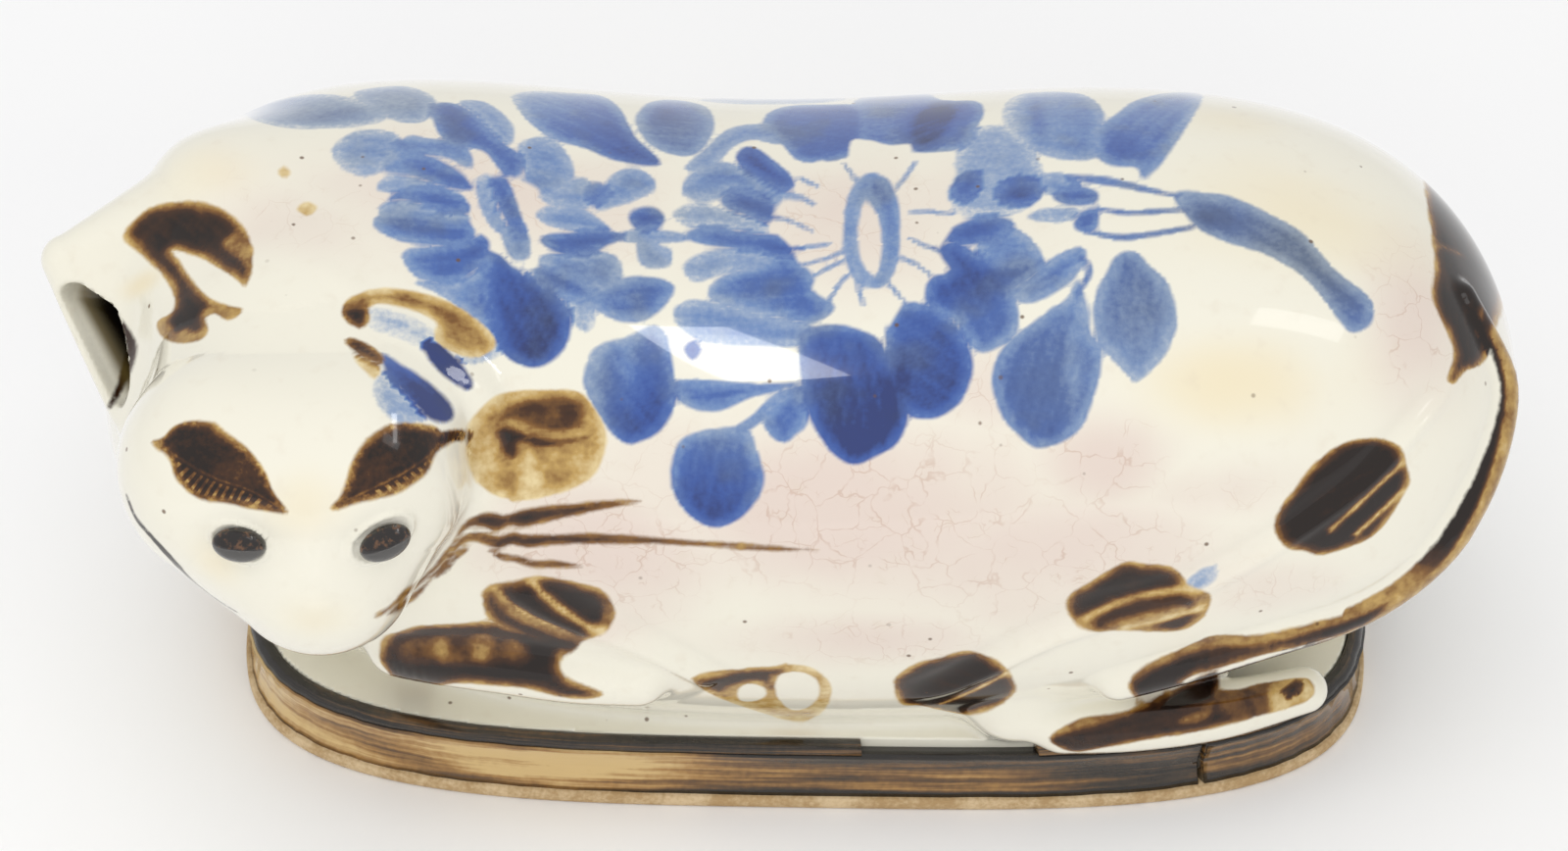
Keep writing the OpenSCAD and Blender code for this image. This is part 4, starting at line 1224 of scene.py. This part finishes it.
def painted_glaze():
    """Cream glaze over cobalt flowers and iron spots, finely crackled."""
    g = Glaze("painted_glaze", 0.14, 1.0)
    cloud, grain, fleck = g.noise(CLOUD), g.noise(GRAIN), g.noise(FLECK, 3.0)
    colour = g.mix((g.attribute("blush") * 1.05 + cloud * 0.7).rise(0.1, 1.0), CREAM, PINK)
    # Honey tint, with painted warm reflections on the rump end
    colour = g.mix((g.attribute("honey") + cloud * 0.5).rise(0.15, 1.1), colour, HONEY_AND_WARM_REFLECTION)
    colour = g.mix(grain.rise(0.05, 0.4) * 0.25, colour, CLOUDED_CREAM)
    bend = g.node("TexNoise", {}, {"Vector": g.place, "Scale": BENDS, "Detail": 3.0}, "Color")
    bend = g.node("VectorMath", {"operation": "SCALE"}, {0: bend, "Scale": BEND_REACH})
    wander = g.node("VectorMath", {"operation": "ADD"}, {0: g.place, 1: bend})
    crack, fine = (g.node("TexVoronoi", {"feature": "DISTANCE_TO_EDGE"}, {"Vector": wander, "Scale": cells_to_metre})
                   for cells_to_metre in (CRACK_CELLS, FINE_CRACK_CELLS))
    crazed = (g.attribute("blush") + cloud * 0.8).rise(0.25, 0.8)
    crazing = (crack.rise(0.03, 0.0) * grain.rise(-0.2, 0.1) * 0.5).at_least(
        fine.rise(0.035, 0.0) * grain.rise(0.0, 0.2) * 0.45)
    colour = g.mix(crazing * crazed * 0.7, colour, CRACK_BROWN)
    load = g.attribute("cobalt_load") + grain * 0.16 + fleck * 0.22
    dull = (g.noise(9).rise(-0.05, 0.25) * 0.5).at_least(g.attribute("grey") + grain * 0.3)
    blue = g.mix(dull.at_most(1.0), g.ramp(load, COBALT_STOPS), g.ramp(load, GREY_COBALT_STOPS))
    cover = (g.attribute("cobalt_gap") + grain * 0.7).rise(1.0, -0.2)
    colour = g.mix(cover * load.rise(0.0, 0.3), colour, blue)
    side, laid = g.attribute("comb_side"), g.attribute("iron_load")
    brown_load = laid + grain * 0.5 + fleck * (0.18 + side.rise(OFF_COMB + 0.5, OFF_COMB + 1.0) * 0.5)
    comb_wave = (g.attribute("comb") * 3.2 + side * 1.6).sine().rise(-0.2, 0.6)
    teeth = comb_wave * side.rise(0.3, 0.7) * laid.rise(0.35, 0.75)
    rib = side.rise(-0.5, 0.0) * side.rise(0.5, 0.0) * laid.rise(0.4, 0.8)
    brown = g.ramp(brown_load - teeth * 0.4 - rib * 0.3, IRON_STOPS)
    stain = (g.attribute("iron_gap") + grain * 0.9 + fleck * 0.4).rise(0.5, -0.4)
    colour = g.mix(stain, colour, brown)
    g.feed(g.shader.inputs["Coat Weight"], stain * -0.6 + 1.0)
    speck, pick = (g.node("TexVoronoi", {}, {"Vector": g.place, "Scale": SPECK_CELLS}, output)
                   for output in ("Distance", "Color"))
    rare = g.node("SeparateColor", {}, {0: pick}).rise(0.9, 0.95)
    colour = g.mix(speck.rise(0.16, 0.06) * rare * 0.85, colour, SPECK_BROWN)
    # Painted shade in the ear's slit, by depth into it: olive-amber at first, then near black
    pocket = g.attribute("pocket")
    colour = g.mix(pocket.rise(0.0, 0.45) * 0.9, colour, SLIT_SHADE_AMBER)
    colour = g.mix(pocket.rise(0.3, 0.9), colour, SLIT_SHADE_DARK)
    return g.finish(colour, cloud * 0.5 + grain * 0.12 - stain * 0.12, 0.35)


# How finely streaks and patches of the brown glaze lie along a strip and up it, and how strongly they show
STREAK_ALONG, STREAK_UP, STREAK_SHOW = 0.035, 9.0, 1.5
PATCH_ALONG, PATCH_UP, PATCH_SHOW = 0.02, 0.7, 1.6


def streaked_glaze(name, stops, dark_low, dark_high):
    """Brown glaze brushed along a strip, worn to amber."""
    g = Glaze(name, 0.22, 0.7)
    along, high = g.attribute("along"), g.attribute("high")
    sweep = g.node("CombineXYZ", {}, {0: along * STREAK_ALONG, 1: high * STREAK_UP, 2: g.attribute("side")})
    streaks = g.node("TexNoise", {}, {"Vector": sweep, "Scale": 1.0, "Detail": 4.0})
    broad = g.node("CombineXYZ", {}, {0: along * PATCH_ALONG, 1: high * PATCH_UP})
    patch = g.node("TexNoise", {}, {"Vector": broad, "Scale": 1.0})
    tone = (streaks - 0.5) * STREAK_SHOW + (patch - 0.5) * PATCH_SHOW + g.attribute("shade")
    tone = tone + high.rise(0.16, 0.02) * dark_low + high.rise(0.82, 1.0) * dark_high + g.noise(1.5) * 0.25
    return g.finish(g.ramp(tone, stops), streaks, 0.4)


def bare_clay():
    g = Glaze("bare_clay", 0.75)
    colour = g.mix((g.noise(7) + g.noise(0.8) * 0.6).rise(-0.25, 0.25), srgb(176, 146, 104), srgb(212, 188, 150))
    return g.finish(colour, g.noise(0.6, 4.0), 0.5)


def bead_glaze():
    """Dark bead, browned on its upper half, grey below the lid's edge."""
    g = Glaze("bead_glaze", 0.2, 0.8)
    high, grain = g.attribute("high"), g.noise(1.2, 3.0)
    upper = g.mix(grain.rise(0.02, 0.2), srgb(28, 22, 20), srgb(96, 66, 44))
    return g.finish(g.mix(high.rise(-0.05, 0.08), srgb(74, 72, 70), upper), grain, 0.5)


def pale_floor():
    g = Glaze("pale_floor", 0.7)
    return g.finish(g.mix(g.noise(160).rise(-0.3, 0.3), srgb(250, 250, 250), srgb(247, 247, 248)))


glaze = painted_glaze()


# Pieces

def solid(name, points, faces, material, normals=None, fields=None):
    mesh = bpy.data.meshes.new(name)
    mesh.from_pydata((np.asarray(points) * MM).tolist(), [], [list(f) for f in faces])
    mesh.polygons.foreach_set("use_smooth", [True] * len(mesh.polygons))
    mesh.materials.append(material)
    for key, values in (fields or {}).items():
        mesh.attributes.new(key, "FLOAT", "POINT").data.foreach_set("value", np.asarray(values, np.float32))
    if normals is not None:
        mesh.normals_split_custom_set_from_vertices(np.asarray(normals).tolist())
    o = bpy.data.objects.new(name, mesh)
    bpy.context.scene.collection.objects.link(o)
    return o


def dress(piece, node):
    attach(piece, "root")
    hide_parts(node)


def edge_loops(faces):
    """The open edges of some faces, as loops."""
    pairs = np.concatenate([np.stack([faces[:, i], faces[:, (i + 1) % 4]], -1) for i in range(4)])
    known = set(map(tuple, pairs))
    after = {}
    for a, b in known:
        if (b, a) not in known:
            after.setdefault(b, []).append(a)
    loops = []
    while after:
        start = next(iter(after))
        loop, here = [], start
        while here in after:
            step = after[here].pop()
            if not after[here]:
                del after[here]
            loop.append(here)
            here = step
        loops.append(loop)
    return loops


SKIN_NODES = ["front_shell", "back_shell", "plinth_ring", "head", "open_ear", "folded_ear", "foreleg", "hind_foot",
              "tail"]
# Rounds in which each knot takes the piece of most of its neighbours, and how deep and how steep a cut end is closed
LABEL_ROUNDS, CAP_DEPTH, CAP_SLOPE = 4, 2.0, 0.15
# Glaze within this of the slit belongs to the ear, and no gap to an edge of paint is kept beyond this
SLIT_EDGE, PAINT_REACH = 0.6, 20
names = list(clay)
nearest = np.argmin([clay[name] for name in names], axis=0)
vent_depth = vent_gap(net_points)
mouth = np.array(VENT_BALLS[:2])[:, :3]
mouth_way = VENT_BALLS[2][:3] - mouth[0]
mouth_way /= np.linalg.norm(mouth_way)
nearest[vent_depth < SLIT_EDGE] = names.index("open_ear")
net_label = np.array([0 if name == "body" else SKIN_NODES.index(name) for name in names])[nearest]
net_label[(nearest == names.index("body")) & (net_points[:, 1] > 0)] = 1
net_fields = {
    "cobalt_gap": np.minimum(cobalt.gap, PAINT_REACH), "cobalt_load": cobalt.load,
    "iron_gap": np.minimum(iron.gap, PAINT_REACH), "iron_load": iron.load, "comb": comb, "comb_side": comb_side,
    "blush": blush, "honey": honey, "grey": grey,
    # Depth into the ear's slit, which sets the painted shade there
    "pocket": ramp_up(-1.0, 8.0, (mouth.mean(0) - net_points) @ mouth_way) * ramp_up(1.2, -0.2, vent_depth),
}
for _ in range(LABEL_ROUNDS):
    votes = np.zeros((len(net_points), len(SKIN_NODES)))
    for here, there in edge_ends(net_quads):
        np.add.at(votes, (here, net_label[there]), 1)
    votes[np.arange(len(net_points)), net_label] += 1
    net_label = votes.argmax(axis=1)
face_label = net_label[net_quads].max(axis=1)
for index, node in enumerate(SKIN_NODES):
    quads = net_quads[face_label == index]
    used, inverse = np.unique(quads, return_inverse=True)
    quads = inverse.reshape(-1, 4)
    points, owner, faces, count = [net_points[used]], [used], quads.tolist(), len(used)
    for loop in edge_loops(quads):
        rim, n = used[loop], len(loop)
        sunk = net_points[rim] - CAP_DEPTH * net_normals[rim]
        middle = sunk.mean(0)
        spread = np.linalg.norm(sunk - middle, axis=1).mean()
        points += [sunk, [middle - CAP_SLOPE * spread * net_normals[rim].mean(0)]]
        owner += [rim, rim[:1]]
        for i in range(n):
            j = (i + 1) % n
            faces += [[loop[i], loop[j], count + j, count + i], [count + i, count + j, count + n]]
        count += n + 1
    owner = np.concatenate(owner)
    piece = solid(node + "_skin", np.vstack(points), faces, glaze, net_normals[owner],
                  {key: values[owner] for key, values in net_fields.items()})
    dress(piece, node)


# Points along a strip and round the slab, and the waves that a hand leaves in a strip: depth, pace and start
STRIP_POINTS, SLAB_POINTS = 260, 240
HAND_WAVES = ((0.12, 0.31, 0), (0.1, 0.83, 1))


def hoops(count, rings, first=0):
    """Quads from ring to ring of some points."""
    return [[first + i * count + k, first + (i + 1) * count + k, first + (i + 1) * count + (k + 1) % count,
             first + i * count + (k + 1) % count] for i in range(rings - 1) for k in range(count)]


def strip(name, half, profile, start, end, material, node, shade):
    """A strip with a profile of distance out and height, swept round the plinth, uneven as a hand leaves it."""
    angles = np.linspace(start, end, STRIP_POINTS)
    profile = np.array(profile)
    rings = []
    for a in angles:
        wave = sum(depth * np.sin(a * pace + begin) for depth, pace, begin in HAND_WAVES)
        out = profile[:, 0] - np.where(profile[:, 0] > 0.5, np.abs(wave), 0.0)
        rings.append([[*oval_point(half + d, a), z] for d, z in zip(out, profile[:, 1])])
    rings = np.array(rings)
    count = len(profile)
    run = np.concatenate([[0], np.cumsum(np.linalg.norm(np.diff(rings[:, 1], axis=0), axis=1))])
    points = np.vstack([rings.reshape(-1, 3), rings[0].mean(0), rings[-1].mean(0)])
    faces = hoops(count, len(angles))
    last = (len(angles) - 1) * count
    for k in range(count):
        j = (k + 1) % count
        faces += [[j, len(points) - 2, k], [last + k, len(points) - 1, last + j]]
    low, high = profile[:, 1].min(), profile[:, 1].max()
    fields = {"along": np.append(np.repeat(run, count), [0, run[-1]]), "high": (points[:, 2] - low) / (high - low),
              "side": np.append(np.tile(profile[:, 0] * 0.3, len(angles)), [0, 0]), "shade": shade(points)}
    dress(solid(name, points, faces, material, None, fields), node)


# Share of the gap between the band's ends that glaze leaves open
GAP_LEFT_OPEN = 0.4
band_run = np.linalg.norm(oval_point(PLINTH_HALF, BAND_JOINT + 1) - oval_point(PLINTH_HALF, BAND_JOINT))
half_gap = GAP_LEFT_OPEN * BAND_GAP / 2 / band_run
hollow = [[BAND_T - BAND_HOLLOW * math.sin(math.pi * u) ** 0.7, SLAB_T + BAND_H * u] for u in np.linspace(0, 1, 13)]
round_edge = [[COIL_W * signed_pow(math.cos(a), COIL_ROUND), BAND_TOP + COIL_H * signed_pow(math.sin(a), COIL_ROUND)]
              for a in np.linspace(0, math.pi / 2, 12)]
BAND_STOPS = ((0.0, srgb(208, 178, 122)), (0.3, srgb(164, 124, 70)), (0.55, srgb(108, 78, 46)),
              (0.8, srgb(60, 50, 40)), (1.0, srgb(36, 32, 28)))


def band_shade(points):
    """Dark from the middle of the front to the rump end, and darker at the back."""
    x, y = points[:, 0], points[:, 1]
    light = 0.05 * bump(points, (-40, -50), (22, 30))
    return 0.04 + 0.68 * ramp_up(-45, -5, x) - light + 0.2 * ramp_up(0, 40, y)


def coil_shade(points):
    """Dark, and a little worn on the rump half."""
    return 1.0 - 0.3 * ramp_up(0, 20, points[:, 0]) * ramp_up(100, 80, points[:, 0])


strip("foot_band_glaze", PLINTH_HALF, [[0, SLAB_T]] + hollow + [[0, BAND_TOP]],
      BAND_JOINT + half_gap, BAND_JOINT + 360 - half_gap,
      streaked_glaze("band_glaze", BAND_STOPS, 0.5, 0.3), "foot_band", band_shade)
strip("rim_coil_glaze", PLINTH_HALF, [[0, BAND_TOP]] + round_edge, COIL_START, COIL_END,
      streaked_glaze("coil_glaze", BAND_STOPS, 0.5, 0.0), "rim_coil", coil_shade)


def slab():
    """The clay slab under the plinth, with its lower edge rubbed round."""
    angles = np.linspace(0, 360, SLAB_POINTS, endpoint=False)
    rows = [(-8.0, 0.0), (-0.9, 0.0), (-0.25, 0.3), (0.0, 0.9), (0.0, SLAB_T - 0.5), (-0.4, SLAB_T), (-8.0, SLAB_T)]
    rings = [np.column_stack([oval_point(BASE_HALF + d, angles), np.full(len(angles), z)]) for d, z in rows]
    points = np.vstack(rings + [[[0, 0, 0]], [[0, 0, SLAB_T]]])
    n, last = len(angles), (len(rows) - 1) * len(angles)
    faces = [[a, d, c, b] for a, b, c, d in hoops(n, len(rows))]
    for k in range(n):
        j = (k + 1) % n
        faces += [[len(points) - 2, j, k], [len(points) - 1, last + k, last + j]]
    dress(solid("base_slab_clay", points, faces, bare_clay()), "base_slab")


slab()


# Rows and sides of an eye's bead, how far its lid stands out, and how far the lid's edge slopes
BEAD_ROWS, BEAD_SIDES, LID_OUT, LID_FALL = 24, 40, 0.09, 0.12
bead = bead_glaze()


def eye_bead(name, side, node):
    """A bead eye whose upper half stands out over the lower one like a lid."""
    out, across, up = eye_axes(side)
    across, up = turned(across, up, side * EYE_SLANT)
    points, high = [[0.0, 0.0, 0.97]], [0.0]
    for i in range(1, BEAD_ROWS + 1):
        a = math.pi / 2 * i / BEAD_ROWS
        for k in range(BEAD_SIDES):
            b = 2 * math.pi * k / BEAD_SIDES
            u, v = math.sin(a) * math.cos(b), math.sin(a) * math.sin(b)
            over_edge = v + LID_FALL * u * side
            lid = LID_OUT * float(ramp_up(-0.04, 0.06, over_edge)) - LID_OUT
            points.append([u, v, math.cos(a) * (1 + lid)])
            high.append(over_edge)
    points.append([0.0, 0.0, -0.4])
    high.append(0.0)
    rim = 1 + (BEAD_ROWS - 1) * BEAD_SIDES
    faces = [[0, 1 + k, 1 + (k + 1) % BEAD_SIDES] for k in range(BEAD_SIDES)]
    faces += hoops(BEAD_SIDES, BEAD_ROWS, first=1)
    faces += [[rim + k, len(points) - 1, rim + (k + 1) % BEAD_SIDES] for k in range(BEAD_SIDES)]
    axes = np.array([across, up, out])
    placed = eye_seat(side) + np.array(points) * [EYE_L / 2, EYE_H / 2, EYE_T / 2] @ axes
    if np.linalg.det(axes) < 0:
        faces = [f[::-1] for f in faces]
    dress(solid(name, placed, faces, bead, None, {"high": high}), node)


eye_bead("left_eye_bead", -1, "left_eye")
eye_bead("right_eye_bead", 1, "right_eye")


# Camera, floor and light

def placed_at(axes, at):
    return Matrix.Translation(Vector(at * MM)) @ Matrix(axes).transposed().to_4x4()


camera = bpy.data.objects.new("camera", bpy.data.cameras.new("camera"))
camera.data.sensor_width = SENSOR
camera.data.lens = VIEW_FOCAL / VIEW_W * SENSOR
camera.matrix_world = placed_at((view_right, view_up, view_back), view_eye)
bpy.context.scene.collection.objects.link(camera)
bpy.context.scene.camera = camera

FLOOR_HALF, DAYLIGHT = 3000, 0.77
floor = solid("floor", [[x * FLOOR_HALF, y * FLOOR_HALF, 0] for x, y in ((-1, -1), (1, -1), (1, 1), (-1, 1))],
              [[0, 1, 2, 3]], pale_floor())

world = bpy.data.worlds.new("studio")
bpy.context.scene.world = world
world.use_nodes = True
world.node_tree.nodes["Background"].inputs["Color"].default_value = (1.0, 1.0, 1.0, 1.0)
world.node_tree.nodes["Background"].inputs["Strength"].default_value = DAYLIGHT


def area_lamp(name, at, way, energy):
    """A flat lamp at a place in metres, shining along a way."""
    lamp = bpy.data.objects.new(name, bpy.data.lights.new(name, "AREA"))
    lamp.data.energy = energy
    lamp.location = at
    lamp.rotation_euler = way.to_track_quat("-Z", "Y").to_euler()
    bpy.context.scene.collection.objects.link(lamp)
    return lamp


def softbox(name, x, y, distance, wide, tall, radiance):
    """A lamp that the skin mirrors at one pixel of the photograph, and that shows only in the glaze."""
    spot = on_skin(np.array([[x, y]], float))
    normal = gap_slope(spot)[1][0]
    normal /= np.linalg.norm(normal)
    to_eye = (view_eye - spot[0]) / np.linalg.norm(view_eye - spot[0])
    way = 2 * (normal @ to_eye) * normal - to_eye
    lamp = area_lamp(name, (spot[0] + way * distance) * MM, Vector(-way), radiance * math.pi * wide * tall)
    lamp.data.shape = "RECTANGLE"
    lamp.data.size, lamp.data.size_y = wide, tall
    lamp.visible_camera = lamp.visible_diffuse = False


# Side of a broad lamp, and the point in the body that it is aimed at, in metres
BROAD_SIDE, BROAD_AIM = 1.6, Vector((0.0, 0.0, 0.05))


def broad_lamp(name, at, energy):
    """A broad lamp aimed at the body, too soft to show in the glaze."""
    lamp = area_lamp(name, at, BROAD_AIM - Vector(at), energy)
    lamp.data.size = BROAD_SIDE
    lamp.visible_glossy = False


softbox("window_lamp", 742, 362, 80, 0.011, 0.042, 5.5)
softbox("side_lamp", 1330, 330, 900, 0.13, 0.34, 1.5)
broad_lamp("overhead", (-0.25, -0.35, 1.6), 7.5)
broad_lamp("front_fill", (0.1, -1.5, 0.55), 6.0)
bpy.context.scene.view_settings.view_transform = "Standard"
